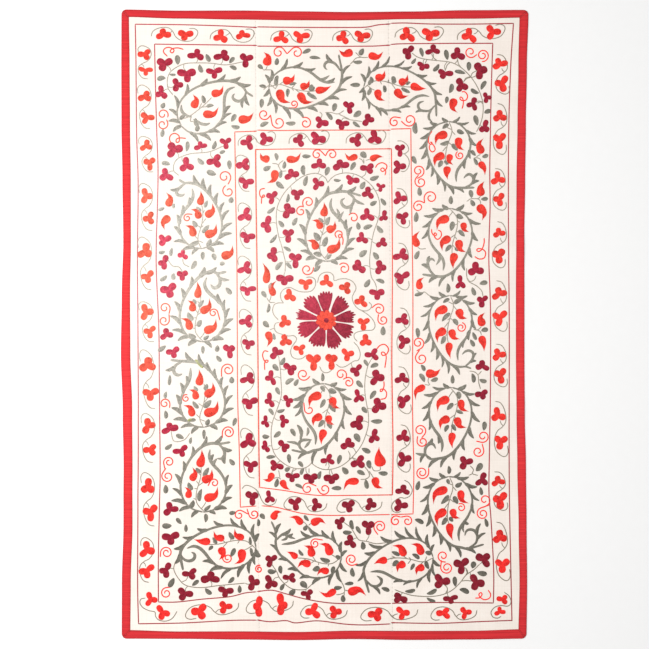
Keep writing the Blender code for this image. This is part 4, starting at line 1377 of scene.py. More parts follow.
# %% Crimson flowers
FLOWERS = table(GUARD_COLUMNS, """
164.8,64.3,150,35,245,1.25,1.1 197,55,85,185,-40,1.25,0.8 222.5,55.6,70,195,-35,1.2,0.9
245.5,60,130,20,270,1.05,1.05 187,73.4,170,15,270,1.3,1.15 214.5,71.8,165,20,265,1.1,0.9
176.8,85,115,0,260,0.9 162,93,100,200,-45,0.95 174.3,149.8,130,20,230,1.3,1.15
200.4,147,90,195,15,0.9,0.75 225.7,143,145,40,275,0.9,0.85 186.3,165.7,90,215,-20,1,1.15
214.5,161,50,190,-50,1.1,1.05 166,175.6,100,220,-30,1.05 165,240.7,130,35,225,1,0.95
183,255.5,85,180,-30,0.8,0.75 164.5,262,75,190,265,0.85,1.05 182.5,274.5,170,30,270,0.85,0.9
169,289.8,180,45,285,1.25,1.15 166.4,334.6,100,-5,215,0.95,0.95 173.3,351.6,185,40,280,1,0.9
229,350.4,140,40,280,0.95,1.05 170,428.5,95,20,215,1.3,0.8 181.3,450.5,185,45,280,1.1,0.85
170.3,510,100,5,215,1.05,1.1 171,537,175,25,270,1.25,1.1 166.4,570,60,185,270,0.95,1.1
190,573.8,175,40,-45,1.05,0.9 209.5,579,75,190,-10,1.3,1.1 185,593.7,140,-5,235,1.1,1.1
225.7,590.8,155,5,260,1.15,0.85 252.8,583,105,15,250,1,1.1 271,582,125,-25,230,1,1.1
271.2,560.4,150,35,240,0.9 289.6,578,165,50,-40,1,0.75 307.4,593.6,175,40,280,0.9,0.85
340,522.6,50,170,270,0.8 368,526.6,140,40,270,1.05,1.05 351,541.6,110,190,-50,0.9,1.05
461.6,565,160,45,260,1.25,1.15 442,581.4,130,10,220,1.2,1.2 482.6,559.6,150,35,-50,1.15,1.2
476.4,582,120,-10,250,1.25,1.15 450.4,598.4,180,15,280,1,0.75 400.6,597.6,140,-30,225,1.2,0.75
475.6,270.4,90,205,-5,1.15,1.15 460.4,282.4,95,225,-50,0.8,0.95 482.4,301,155,35,265,0.8
482,366.6,95,190,-25,0.95,0.95 481.4,394,195,35,-60,1,0.8 465.4,463.2,120,20,235,1.05,1.05
481.4,479.4,55,215,-40,0.9,1.1 408.4,52,175,45,270,0.9,1.1 432.6,50.4,85,200,-20,1,0.85
457.8,55,95,205,-25,1.1 423.6,65.8,150,-5,245,0.9,0.8 445,73.8,145,0,240,1.1,0.8
479.2,70.6,115,15,270,1.2,1.2 461.2,84.6,125,-35,245,1.1 472.8,103.6,70,195,-70,0.85,0.95
484.4,127.2,65,220,-30,0.8,1.05 348.6,107,135,40,285,0.9,0.95 321.4,122,125,-15,240,1.15,0.8
342,123.6,160,0,265,1,0.9 367.6,120.4,95,5,235,0.9 318.8,164.8,80,195,-15,1.05,0.85
340.4,165.6,100,10,215,1.25,0.85 367.4,168.4,175,40,-50,1.05,0.85 291.8,174.8,100,20,215,1.15,0.8
317.6,183.6,125,0,240,0.95,0.9 352.6,179.8,135,-5,235,1.05,0.75 380.8,187,140,20,260,0.65,0.7
368.4,193,100,200,-55,0.95,0.9 272.4,197,50,160,250,0.9,0.95 297.4,193.8,165,30,265,1,0.9
287.8,211,105,5,250,1.05,1.15 367.6,215.6,95,200,-35,1.05,0.95 383.6,216.2,75,215,-30,0.65,0.9
267.2,224.6,70,180,290,0.85,1.25 288.4,235,145,40,270,0.85,1.1 362.6,238.6,100,200,-35,0.95,0.85
381.2,243,60,215,-20,0.8,0.9 273.4,254.6,90,205,-70,0.95,1.1 295.2,259.4,140,35,270,1,1.15
359.4,267.4,110,185,-30,1.05,1.1 379.8,267.4,105,0,250,0.95,1.05 284.8,278.6,175,5,265,1.25,0.95
377.4,292.4,170,10,265,1.05 276,353.8,105,15,225 289.8,368.2,150,5,-65,0.95,1.1 271.4,378,90,180,-65,0.85
372.2,354.8,55,175,-45,1,0.9 356.6,370.4,180,50,275,0.95,0.9 376.4,377.2,105,0,235,1.2,1.1
270,400.6,95,190,-55,0.75,1.05 287.2,400.8,115,5,280,0.85,0.85 358.4,396,105,235,-45,0.9,0.9
378.2,405.8,105,0,235,1.2,1.15 266,421.8,95,190,-65,0.65,0.85 282.8,420.8,105,-10,265,0.8,0.9
357.8,422.4,70,205,-65,1.1,1.15 373.4,436.2,65,235,-30,0.8,1.1 266,447,110,190,-45,0.65,0.95
283,445.6,130,-10,285,0.95,0.9 347.2,445,75,205,0,1,1.05 276.4,465.4,130,-20,230,1.05,0.85
327.6,460.2,60,185,-30,0.95,0.85 358,462,55,215,-45,1.2,0.95 292.4,476.4,160,10,265,1,0.8
310.8,477.4,175,25,280,1.1,0.9 331.6,477.8,25,190,275,1.2,0.9
""")
SMALL_FLOWERS = table(GUARD_COLUMNS, "486,97.8,105,0,270,0.75,0.75")  # too small for a stem

sew(flower, Needlework("border_and_field_flowers", "crimson"), FLOWERS + SMALL_FLOWERS)

# %% [markdown]
# ## Leaves and drops
# Leaves fill the gaps between the flowers, each with its narrow end toward its own stem.

# %% Leaves
LEAVES = table("px py length width bearing", """
177.5,60,10,6,-85 208,58,9,5,115 232,60.5,8,4.5,-130 201,68.5,9,5,110 233,68,8,4.5,155 172.5,74.5,7,3,175
161.5,79,9,5.5,10 163,105.5,6.5,5,60 162.5,133,8.5,4.5,80 233.5,118,9,5,-120 235.5,126.5,9,4.5,170
187,146.5,10.5,4.5,-95 214,145,9,4.5,70 222.5,152,6.5,4,20 166,164,9,5,-10 201,161,9,5,135
229.5,165,9.5,5,-85 211.5,173,10.5,6,-20 231,200,6.5,5.5,80 161.5,209,7,4,20 174,206,5.5,3.4,80
162,252,7,4,10 171.5,252,9,4,80 203,256,8.5,4.5,-90 214,257,7.5,5,-70 193.5,265,10,5,-120
222.5,264,5.5,4.5,10 163.5,278,9,4.5,35 174,276.5,7,5,90 228.5,291,9,5,130 162,348.5,10,5,35
203,350,8.5,4,-90 217,348.5,7,5,80 219,358.5,8,4.5,130 231.5,380,7,5.5,90 169.5,380,11,4,85
166,395,7.5,4,80 165.5,414.5,8.5,4.5,95 234.5,422,9,4.5,-110 180,436.5,9,5,-25 204,434.5,10,3.8,-90
191,440.5,7,3.5,80 168.5,446.5,9,4.5,35 232,462,8,5,130 165.5,489,9,5.5,90 232.5,512.5,7,4.5,10
205.5,518,9,4.5,-90 179,521,8,4.5,-50 167,525.5,10,6,0 186,528,8,4,90 258,522.5,7.5,3.6,90
262.5,516.5,7,5,-50 171.5,582.5,11,6,60 195.5,583,9,4.5,-140 231,580,8.5,4.5,-135 208.5,591,9,5,140
239.5,589,8,4.5,90 258,555.5,6,3.8,-10 306.5,51.5,9.5,4.5,205 315,58,11.5,3.8,-5 361.5,52,8,5.5,60
276.5,61.5,7.5,4.8,80 357.5,62,9.5,4.2,180 355,85,10.5,4.8,180 262.5,86.5,7.5,4,170 261.5,103.5,9.5,5,-95
264.5,124.5,9.5,4.8,25 290.5,123,10.5,4.6,180 334.5,107.5,9,5.4,-105 357,114,9.5,6,215
329,116.5,9.5,4.6,130 356.5,124.5,9.5,4,-38 276.5,79.5,8.5,4.2,-110 293,84,8,3.6,10 310.5,87.5,7,4.6,-120
287.3,92.5,8,4.2,-100 311.5,95,10,3.8,-25 260.5,67,6.5,4.5,-40 371,80,7,4.6,100 384,89,7.5,4.2,100
369.5,92,7.5,3.6,70 421.5,52.5,9.8,4.4,-75 413.5,61,7.4,3.6,50 436,67.5,9.5,4.6,50 446.5,55,10.8,5.2,-80
460,72.5,11.4,4.4,-12 468.5,66.5,9.4,5.2,-90 450.5,88.5,10,5.2,-105 475,91,9.4,4.6,-28
483.5,85.5,10.4,4.8,-120 446.5,100,7.4,4.2,-100 476,120.5,11,5.4,-75 487.5,112,7.4,5,200 393,80,7.6,5,-80
405,90,8.8,3.8,-32 408,83.5,5,3.8,30 416,128,12,5.6,90 473.5,153,7.4,4.2,-52 485,156,6.8,4.4,200
475.5,161.5,8.6,4,115 414.5,160,8.8,5,-65 419.5,191.5,9.4,5,95 451,200,8.6,4.8,90 416,217,10.6,5.2,85
470.8,194,8.4,5,-80 484.4,199,7.4,4.4,185 472.5,203,7.4,4.8,120 417.2,255,9.6,5,65 483.5,283.4,8.4,5.2,190
473.6,291.4,9,4.8,110 447.5,288,9.6,4.6,90 419,294,9.6,4.2,15 484.6,330.4,7.4,5.2,190 474.5,336,9,4.2,115
472.2,343,8.4,4.6,120 417.5,333,10.4,4.8,-85 422.6,368,7.4,4.4,120 422,378,10,5,-60 434.2,379.4,8,4.6,200
452.5,379.2,9,4.4,90 472.6,378,9.8,4.8,100 483,380.4,8,4.6,165 484,426,9.4,5.2,-95 478.6,467,10,6.4,-125
448.5,469.8,8.4,4.4,90 418,485.4,10,5,75 481,491,8.6,4.2,100 419,521.5,10,5,155 486,522.6,9.4,4.2,105
473.6,565,7.4,6,-110 482,573,10.4,5.8,170 455,581.4,10.4,5,-85 431.5,591.4,11.4,4.8,205
410,590.4,10.8,4.4,188 464,591.2,10.6,5.6,158 431,599.4,10,3.8,158 272,570.8,9,5.4,-5
281,569.6,8.6,4.8,-85 282.6,586.8,8,4.4,60 292,591.6,8.4,6,45 303.6,585,9,6.4,-40 305,527.6,6,4.8,60
306.6,518,7.6,3.8,-52 352.4,524.6,10,4.6,-75 347.4,532,9.4,4.8,0 358.4,530,9,4.4,-60
362.4,545.6,8.4,5.4,95 353,572,9.6,5,100 349,583.6,9.4,4.2,185 338,587.4,8.4,4.6,5 343.2,598.4,7.6,5.2,95
385.4,589.4,9,4.6,160 276,157,8,4.2,-80 306.6,156,9,4.4,0 363.6,155,8,6.4,-45 267,168,8.4,5.4,25
284,165,8,4.2,80 281,174,8.4,4.2,80 304,170.4,10.6,5.2,-85 327.4,171.4,9.6,5.4,-110 353,166.4,9.6,5,-120
374.4,177.6,10,5,20 280.4,185,10.4,5.4,-40 306,181,11,5,75 337.4,180,7.6,3.4,-5 363,185.4,8.8,5.4,60
287.4,198,9.4,3.8,80 271,210,10.4,4.2,38 383,202,8.8,4.6,125 373.4,203,8,4.8,28 295,221.6,9.4,4.8,60
281,224,8.6,4.8,130 358,226,7.8,4.8,100 368,227,10,5,20 380,229,9.6,5,130 273.4,238.6,11.4,4,50
287,249,9,4,150 363.4,253.6,10,6,40 375.4,256,9,5.4,125 279.4,266,10.8,5,50 289,266,8.8,4,-50
270.4,286,7.6,4.2,75 264,294.4,8,4.8,-55 268,308,9.6,3.8,80 266.6,324,8.4,5.6,-50 274.4,336.4,7,3.8,100
317,268.4,9.4,4.6,40 367,283,9.6,5.4,55 380,281.4,9.4,4.4,160 383,330.8,9.4,5.6,90 282.6,361,9,4.8,60
276,367.4,8.6,5.4,-50 366,363,8,4,-60 374.4,366,8.8,5,200 290,381.6,10.4,5,32 296.4,382.4,8,4.6,60
278,391,8.4,4.6,-65 322.4,377,9,4,90 360,384,9.4,5.2,-48 373,395,10.4,5,-125 364.6,410,8,5,-50
376.4,421,12,5,180 281,410.4,8.4,4,15 271,412,8.4,4.2,-55 266,436,7.4,4.8,-5 277,434.4,9,5,-140
293,432.6,9,4.8,-60 357,438,10,6.4,-60 366,450.4,10,5.4,155 271,457,9.8,4.2,5 289,458.6,9.6,4.6,-85
300.6,464.4,7.6,4.4,-50 302.6,471.4,8,4.2,65 287.6,469.4,6.4,4.8,30 320,475,8.6,4.4,75
339.4,459.6,10,5,-105 345,470.6,9,6,130 361,473,9,5,-25 369.6,464.4,9,5.6,-80 383,473,9.8,5,175
366.6,484,10,5,100 276.4,482.6,9.4,4.8,75 299,486.6,9,3.8,-28 336.4,488.4,10.4,4.8,180
""")

sew(leaf, Needlework("border_and_field_leaves", "green"), LEAVES)

# %% [markdown]
# Loose drops sit in pairs outside the paisleys and in the corners of the field. Most bend to their left.

# %% Drops
DROPS = table("px py tip_px tip_py width=8 bend=0.2", """
267.3,61.5,264.5,53,8.8,-0.2 242.6,119.6,253,113.4,8.6,-0.15 349,53,339.5,50.6 372,56,382.5,52.4,7.6,-0.2
453.4,102.4,456.5,112,8.2,-0.2 169,203,167,193.5,7.6,-0.2 166.8,219,164.5,229,8,-0.2
225.5,255.5,232.5,246.5,8.6,-0.2 480.6,150,482.6,139.4 481.4,164.6,484.8,174.2,6.8,0.1
480.6,192,483.6,182.2,8.4,0.12 480.6,208.4,482.2,219.6,8.6 416.4,243.4,418.8,232,7.4 419.4,286,423.2,278,7
481.6,322.4,484,313.4 482,339.4,484,350.4,7.6,0.05 430,373.6,439.8,369.4,8.8,-0.15
422,387.6,415.6,398.8,7,-0.2 274,516.2,281.4,512,7.4 300,521.6,290,517.2,7,-0.15 314.6,522,325,523.4
333,591.6,320,591.6,7 352,591.4,365.4,595,8.8 266,159,260.6,154,7.6 290,159.4,300.4,153.4,7.4,-0.2
274.9,174,267.7,182.6 354.6,157,345.4,153.8,6.4,0.25 373,158.4,382.4,157,6.6,0.1
266.4,279.6,263.2,263.6,7.6,-0.1 272.8,292.6,275.6,281.6,7 268.6,335,267.4,346,7.4,0.15
271.4,475.8,263.6,479.4,6.8,0.25 283,483,289.4,489.4,6.8,-0.1 355.4,481.2,344,489.4,7.4,-0.2
375.4,481,382,487.8,8,-0.2 380,461,379,448,11.4,0.05
""")

sew(drop, Needlework("border_and_field_drops", "orange"), DROPS)

# %% [markdown]
# ## Scrolls
# Single and double scrolls in orange-red are set wherever a corner would stay empty. In a double, two
# scrolls leave the same point and wind away from each other. A few were drawn as free loops instead.

# %% Orange scrolls
SCROLLS = table("px py radius turns from_px from_py", """
278.6,52.6,6,1.15,287,54 296.8,52.8,6,-1.15,287,54 162.8,114.6,5.7,1.15,166.4,119.6
162.6,124.4,5.5,-1.15,166.4,119.6 264,114.4,5.8,-1.2,270.6,115 278.6,122.4,6.7,1.2,270.6,115
305.6,123.2,5.8,-1.2,302,117.6 394.4,122.2,5.2,1.2,401,118 409.6,120,6.5,1.3,401,121
470.4,52.2,5.8,-1.2,477,54.4 482.6,55.4,6.4,1.6,479.4,61.4 224.5,177,6.5,1.2,228,184.5
228.6,191.4,6.5,1.1,228,184.5 164.8,308,5.4,1.2,169,314 164,320.5,5.4,-1.2,169,314
228,369.8,6.4,-1.45,221.6,377 164.8,403.6,5.2,1.3,169.6,408 228.6,432.4,6.2,-1.6,222.4,438
169,462,5.4,-1.35,165,469 167.6,476.4,6,1.4,166,468 166.6,552.6,6,-1.5,160.4,557
166.4,593,5.4,1.3,170.6,587 239.3,515,5,1.2,248,514 254,514,5,1.3,247,508.6 259,569,4,1.5,261,565.5
351.4,559.4,6,-1.5,357.6,563.6 380,526.6,6.4,-1.6,378,534.6 395.6,521,5.2,1.25,400.8,517
407.4,521,5,-1.25,400.8,517 443,556,5.6,-1.25,446,562 446.8,567.6,6.2,1.5,441.5,560
418.4,171,6,1.4,417,178.6 420.6,182,6,1.3,418.6,175 430.8,197.6,6.7,-1.3,424.6,203
418.4,206.6,5.8,1.3,424.6,203 418.2,343,6,1.4,416.5,351 421.4,358.4,6.3,1.3,419.6,350
420,430.4,6,1.4,421.5,438 422.4,441.6,5.4,1.3,417.6,436 483,436.4,6,1.3,476,441
478,451.4,5.8,-1.3,482,443.6 422,472.6,6.6,-1.7,428.6,468 484.6,500,5.8,1.1,482.6,507.6
482.6,513.6,6,1.5,489,505 317,154.6,5.2,1.2,325.6,156 332,154.6,5.2,-1.2,325.6,156
308.4,202.4,5.8,-1.2,303.4,207 301,211.4,5.4,1.2,305.6,208 353.4,218,5.4,-1.05,349,215.4
307,269.4,6,-1.25,313.6,267 344,268.6,6,-1.3,338.4,266 379,309.4,5.8,-1.3,371.6,308
383,319.8,5.2,1.3,378.6,314 303.2,374.4,6.3,-1.3,310,376 341,374.6,5.8,1.2,345,379.4
348.6,382.4,5.2,-1.3,343,379.4 307.6,488.6,5.8,1.2,316.6,486 324.4,489,5.8,1.2,317,488
213.4,313,4.4,1.3,220,320.4 187.4,218,4,1.2,192.4,214.4 186,398.4,4,1.3,188,394.9
214.4,483,4.4,-1.2,208,486 227.6,558,5,1.4,223,551.6 294,104,4,1.3,288,108 459.8,155.4,4.4,1.4,457.6,151.6
461,327.4,5,-1.4,461.9,322.5 461,507.6,4.4,-1.3,458.2,504.2 315,543.6,4.8,1.4,323,540
309.4,409.6,4.8,0.9,303.8,402.4
""")
LOOPS = """
167.5,56.5 163.5,52 165,48.5 169.5,47.5 174,50 172.5,53 170.2,51.4 172.5,48.8 178,48 183.5,49.5 | 171,143
169.5,139 171,135 175,133.5 179,136 179.2,141.4 176.6,142.4 176.4,139.4 180,138 186,138.5 | 461.5,92
465,92 467.5,96 466,100 462,100.6 459.8,98.6 461,97 463,99.6 463.2,104 462,109 | 484,238 484,243 482,249
478.6,251.6 476.6,250 478.4,248.6 483,249.6 485.5,253 484,258 479,259 474.5,256.5 | 488,590 490.5,594
489.4,598 484.6,599.6 480.6,597.6 478.8,594.6 480.6,592.4 482,594.4 479.6,597.6 475,598 | 265,188.4
260.6,189.6 259.6,194 261.4,197.4 264.6,196.6 263.6,194.8 261.8,198 261.4,204 | 375.4,168 377.4,164.6
382,162.8 386.4,165 386.2,169 382.6,171.6 380.6,169.6 382.8,168 385.6,171 385,175.4 | 268.4,351.6
264.4,351 262.6,355 264,360 266.6,362.6 268.2,360.6 265.6,360.4 264.6,364 264.8,370 | 376,350 380,345.4
385,344.6 388.4,349 386.6,354 382.6,355.4 381.4,352.6 384,352.4 386.2,357 384.8,368 | 383.8,381 384,386
382.4,390.6 380.4,391.6 380.6,389.4 384,389.4 386.6,393 385.4,398 380.4,399.4 | 432,131 429,136 428.5,142
430.6,144.6 432,143 430.4,142 434,146 435,150 432,152 429.5,149 429.4,145 | 431.5,229 432,233 434.6,236
436.6,234.4 434.4,232.8 434.6,237 437.6,239.4 441,236.4 441,232 438,230 | 342.6,245 343,239 340.6,234.6
338.4,235.6 339.6,238 342,235.8 341.4,232 337.6,231 335,234 336.6,238
"""

scrolls = Needlework("orange_scrolls", "orange")
sew(scroll, scrolls, SCROLLS)
lines(scrolls, LOOPS, SCROLL_WIDTH, SCROLL_STEP)

# %% [markdown]
# ## Vines
# One-row vines carry the flowers of the border corners, the two sides of the field, and the wreath round
# the middle flower. Short stems tie flowers and leaves to them.

# %% Vines and stems
VINES = """
242.7,62 226,65 212,63.4 198,63 184,64 172,70.5 167.7,78 168,88 173,95 | 223.6,146 208.7,152 189.6,154
176.4,160 173.5,170 179,175.6 | 175.5,561 174,570 180.5,581 188,586 202,587.5 218.6,585.5 245,583 |
411.6,53 418,57.4 427,59.6 440,61 451,62.6 460,67 468.6,74.6 475,83 479.6,92 482.6,102 483,112 481,122
476.4,132 | 479.6,564 474,569.4 466,575 459.6,583 452,590 442,594.6 430,596.4 414,595.6 404,593
394.6,589.6 | 271,563 277,572 279,577 285,584 293,589 305,589.4 311,585 316,581 | 343,521.6 351,528
356,536 359.4,540 367,541.4 376,543.6 386,542.6 | 327.6,182.5 325,177.6 317.6,173.6 310,174 303,176.4
297,180.4 290.4,186 285,192 280.6,199 277.4,207 276.2,216 276.8,226 278.8,237 281.6,246 284,256 285.4,263
285,272 | 327.6,183 331,178.6 336,175 343,173.2 350,173.2 357,175 364,179 371,185 376.4,193 379.4,202
379.6,212 377.6,221 374.4,230 372,240 370.6,250 369.6,259 370,268 371.4,277 375,283 376.6,288 | 279,359
280.4,370 281,381 281.6,392 280,401 276.4,411 272.8,421 271.2,431 271.4,441 272.6,449 276,456 281.4,461.6
289,466.4 297,468.6 305,467.8 310.6,464 313,459.6 | 311.4,463 317,467 324,469.4 332,469 341,466 349,460.2
356,452.8 362,444 366,434 368.4,424 368.2,413 366.4,403 364.8,391 365.2,378 367.8,366 370.8,360 |
283.5,303 281,299 280.8,293 284.6,288.8 290,287.4 295,289.8 300,291.6 306,292 311.6,290.8 315.2,286
315.2,280 311.4,277.2 306,277.4 | 317.4,283 319.4,276 324,272.6 330,272.6 333.6,276 334.2,280.6 340,279
347,279 353,282 356,288 353.4,294 352.2,298 354,304 358.6,309 365,311 370,309 371.4,305 368.6,302 |
359.6,309.6 367,314 373,320 375,326 372.4,330 366,330.4 358.6,331.6 354.4,334 354.4,338 357.4,341.4 |
353.6,342 358,347 360.2,354 358.4,360 354,361 349.4,364 345,366.6 340,367 336,364 | 334,366.6 330.6,371
326,372.8 322,371 319.6,366.4 | 306.6,355 302,358.4 297,359 292.4,357 290.6,352 292,346.6 296,341
296.4,338 293.4,335.6 288,336 281,334 276.4,332 274.2,328 275.4,323.6 279,322.4 | 278.4,320 274,315
272.6,310 274.2,304.8 278,303 283.6,303
"""
STEMS = """
416.4,290 421,293 424.6,292 430,296 438,297.6 | 417.6,247 420.6,249 426,248.6 | 481.4,326.6 478,329.6
473.4,329.4 479.6,331 481.4,335 | 476.6,198.6 479.6,200 480.8,204 | 466.6,201.6 471,198.8 478,198.6
480.6,196 | 476,157 480.4,154.4 | 474.6,157.6 479.4,158.6 481,161.6 | 469.4,371 474.6,372 478,375.4
478.6,382 480.4,389 | 478,375 481.6,371 | 466.6,268 466.6,275.6 468.6,281.4 476,285.6 481.4,290.6
483,296.4 | 467,277.6 469.6,281.4 474,280 476,276 | 429,376.4 428,381.4 429.6,385 424.6,384.4 | 470,465.6
473.4,469.6 472.4,473.6 478,475.4 | 472.4,473.6 468.6,475.4 | 300.6,519.6 306,524 309,528.6 311,533.6 |
312,522 308.6,525.4 | 338.4,572 340,579 343.6,586 344.4,592 339,594.4 336,594.4 | 344.6,590 349,591 |
344.4,592 344,596 | 361.4,57.4 356,58.4 352.6,62 350,64.4 | 368,57.6 361,57.4 357,54 355.4,52.6 |
262.6,69.6 265.4,70 267.4,66 | 272,70 265.4,70 | 363.6,158.6 364,163.6 | 359,158.4 362,160 363.6,163.6 |
370.6,159 365.6,160.6 | 272,163.4 277.6,164.4 279.4,168 281.4,171 286.6,171 | 283.4,160.4 279.4,163.6
278,167 | 268.4,285 271,296 269.4,302 275,302.4 | 269.6,330 273,328.6 275.4,328.8 | 266.6,297.6
269.4,302 | 348,450.6 350,455 349,460.2 | 349,458 355,458.6 359,461.6 | 364,466 368,471 369.4,476
365.6,479 360.4,479.4 | 369,471 372.4,476 374,479 | 371.6,466 374,470.6 380,470 380,466 | 272.6,478.6
278,477.4 281,479.4 | 278.6,470 280,477.4 | 309,468 309,473 | 289.6,476.6 292.6,471.6 297,468.6 |
330.6,469 332.6,474.4 | 325.6,466 326.6,462.6 | 168,260 172.6,266 179,267 182.6,272 | 182.6,259 184,264
189.4,267 | 171,431 174,441 184,440 190,433 | 479.6,69.6 472.6,73 470.6,77.4 | 463.6,82 466.4,78.8
470.6,77.4 | 457.6,60 458.4,64 461,67.6 | 445.4,70 447,65.4 450,62.6 | 431.4,54 433.6,58 437,60.6 |
425,63.6 427,59.6 | 477,103.4 480.6,102 483,104.4 | 344,110.6 338,114 331,112.6 325,112.6 | 320.6,118.6
322,114.6 319.6,112 | 341.6,120.4 344,118 350,119.8 362,121.6 | 339,114.4 346,117.6 350,119.8 | 263.4,90
270,85 275,88.6 | 465.6,568.4 467,572.6 465.6,575 | 471.6,581 466,580.4 461.4,581 | 445.4,584.6 447.4,589
445.4,593.4
"""

vines = Needlework("vines", "stem")
lines(vines, VINES, LINE_WIDTH, VINE_STEP)
lines(vines, STEMS, LINE_WIDTH, VINE_STEP)

# %% [markdown]
# Every flower near a field vine has its own short stem. They are worked out rather than listed: from each
# flower the nearest point of a vine is found, and a stem is drawn if it is close enough.

# %% Short stems
STEM_REACH = 17 * PIXEL
STEM_CLEAR = 4 * PIXEL
STEM_WIDTH = 0.85  # as a share of a vine's

vine_points = np.vstack(curves(VINES))
stems = 0
for row in FLOWERS:
    middle = on_cloth(row.px, row.py)
    far = np.linalg.norm(vine_points - middle, axis=1)
    if STEM_CLEAR < far.min() < STEM_REACH:
        nearest = vine_points[far.argmin()]
        way = nearest - middle
        path = through([middle + way * 0.2, middle + way * 0.6 + left_of(way) * 0.15, nearest])
        line(vines, path, LINE_WIDTH * STEM_WIDTH * PIXEL)
        stems += 1
print("short stems:", stems)

# %% [markdown]
# ## The middle flower
# The cloth turns round one large carnation. Each of its nine petals is six narrow blades side by side,
# which leaves the fringed edge of a real carnation and shows the rows of stitches running outward. The
# table gives each petal's bearing, spread and reach, and its tone: the whole flower is of a darker dye lot,
# and painted shade makes the petals on the right, away from the light, darker still.

# %% Carnation petals
CARNATION = (326.3, 320.4)
PETALS = table("bearing spread reach tone", """
93,34,29.4,-0.12 48,36,29,-0.22 9,29,29.4,-0.28 -28,34,29.4,-0.3 -70,35,29.4,-0.22 -113,39,29,-0.1
-157.5,36,30.4,-0.02 167.5,22,31.4,0.02 132.5,34,30,-0.02
""")
FRINGE = 6
FRINGE_CURVE = 7  # how much shorter a petal is at its sides
FRINGE_STRAY = 2.6  # and how unevenly its blades end
PETAL_FOOT = 7.0
FOOT_SPREAD = 0.55  # a petal is narrower at its foot, by this share
OVERLAP = 1.25  # a blade's width against its share of the petal
PETAL_ENDS = (0.75, 0.46)
PETAL_SHADE = 0.14
PETAL_PITCH = 1.6 * MM

carnation_middle = on_cloth(*CARNATION)


def petal(work, bearing, spread, reach, tone):
    """Narrow blades side by side, opening like a fan from the foot of the petal."""
    for number in range(FRINGE):
        share = (number + 0.5) / FRINGE - 0.5
        luck = chance(bearing, number)
        end = reach - FRINGE_CURVE * abs(share) ** 1.5 + FRINGE_STRAY * (luck - 0.5)
        tip = carnation_middle + toward(bearing + spread * share) * end * PIXEL
        foot = carnation_middle + toward(bearing + spread * share * FOOT_SPREAD) * PETAL_FOOT * PIXEL
        width = 2 * math.pi * reach * spread / 360 / FRINGE * OVERLAP * PIXEL
        # the petal's tone holds painted shade on the side away from the light
        shade = tone + PETAL_SHADE * (luck - 0.5)
        spine = through([foot, (foot + tip) / 2, tip])
        blade(work, spine, width, *PETAL_ENDS, around=20, shade=shade, pitch=PETAL_PITCH)


sew(petal, Needlework("carnation_petals", "crimson"), PETALS)

# %% [markdown]
# A ring of ten orange-red lobes covers the foot of the petals, and one round dark stitch its middle. Both
# are padded with stitches underneath, so they stand higher than the petals.

# %% Heart of the carnation
HEART_LOBES = 10
HEART_TURN = 12
HEART_REACH = 10.6
HEART_WIDTH = 5.6
HEART_ENDS = (0.7, 0.42)
HEART_RISE = 1.5 * FILLED_RISE
HEART_EYE = 2.7
EYE_RISE = 2.1 * FILLED_RISE
EYE_SHADE = -0.35

heart = Needlework("carnation_heart", "orange")
for number in range(HEART_LOBES):
    out = toward(360 / HEART_LOBES * number + HEART_TURN)
    reach = HEART_REACH * (0.94 + 0.1 * chance(number, 3)) * PIXEL
    spine = through([carnation_middle + out * run for run in (PIXEL, reach * 0.6, reach)])
    shade = 0.08 * (chance(number) - 0.5)
    blade(heart, spine, HEART_WIDTH * PIXEL, *HEART_ENDS, rise=HEART_RISE, shade=shade)
eye = Needlework("carnation_eye", "crimson")
eye_half = np.array([HEART_EYE * PIXEL, 0])
eye_spine = np.array([carnation_middle - eye_half, carnation_middle + eye_half])
blade(eye, eye_spine, 2 * HEART_EYE * PIXEL, rise=EYE_RISE, shade=EYE_SHADE)

# %% [markdown]
# Thirteen orange-red flowers make a wreath round it. They are drawn a little smaller than the others.

# %% Wreath
WREATH = table("px py one two three wide=0.95 tall=0.95", """
305.7,282.6,165,10,270 327,281.8,95,190,-40 345.6,288,70,170,-55 361,301.8,80,180,-40
363.4,323.6,140,35,270 365.6,340.8,95,-25,220 347.4,354.4,130,15,265 331,361,130,50,270,1.12,1.12
313.6,361.4,135,45,265,1.2,1.2 299.6,348.8,165,30,-70,0.85,0.85 285.6,340.6,115,-25,225
284.6,321.8,100,-10,230 290.6,295.6,110,205,-45
""")

sew(flower, Needlework("wreath_flowers", "orange"), WREATH)

# %% [markdown]
# ## Sewing
# A row of small slanting stitches holds the binding's turned edge down, and short stitches bridge the two
# seams. Each stitch is one thin blade, so they are only a few faces each.

# %% Hem and seam stitches
HEM_PITCH = 11 * MM
SEAM_PITCH = 14 * MM
HEM_SLANT = 25
SEAM_SLANT = 62
HEM_INSET = 1.2 * MM
HEM_RISE = 0.9 * MM
SEAM_RISE = 0.25 * MM
STITCH_LENGTH = 4.2 * MM
STITCH_WIDTH = 0.9 * MM
RED_SEWING = silk("red_sewing_cotton", "9A1E26", "A8262E", "B8323A", 0)
CREAM_SEWING = silk("cream_sewing_cotton", "DCD2C6", "E2D9CE", "E8E0D6", 0)
THREADS["sewing_red"] = Thread("binding_cotton", RED_SEWING)
THREADS["sewing_cream"] = Thread("ground_cotton", CREAM_SEWING)


def stitches_along(work, path, pitch, slant, rise):
    """Small stitches at even steps along a path, each lying at a slant across it."""
    count = int(lengths(path)[-1] / pitch)
    shares = (np.arange(count) + 0.5) / count
    for number, (place, side) in enumerate(zip(*read(path, shares))):
        out = -left_of(side) * math.cos(math.radians(slant)) + side * math.sin(math.radians(slant))
        half = out * STITCH_LENGTH / 2 * (0.85 + 0.3 * chance(number, pitch))
        spine = np.array([place - half, place + half])
        blade(work, spine, STITCH_WIDTH, around=8, rise=rise, pitch=STITCH_WIDTH)
    print(f"{work.name}: {count} stitches")


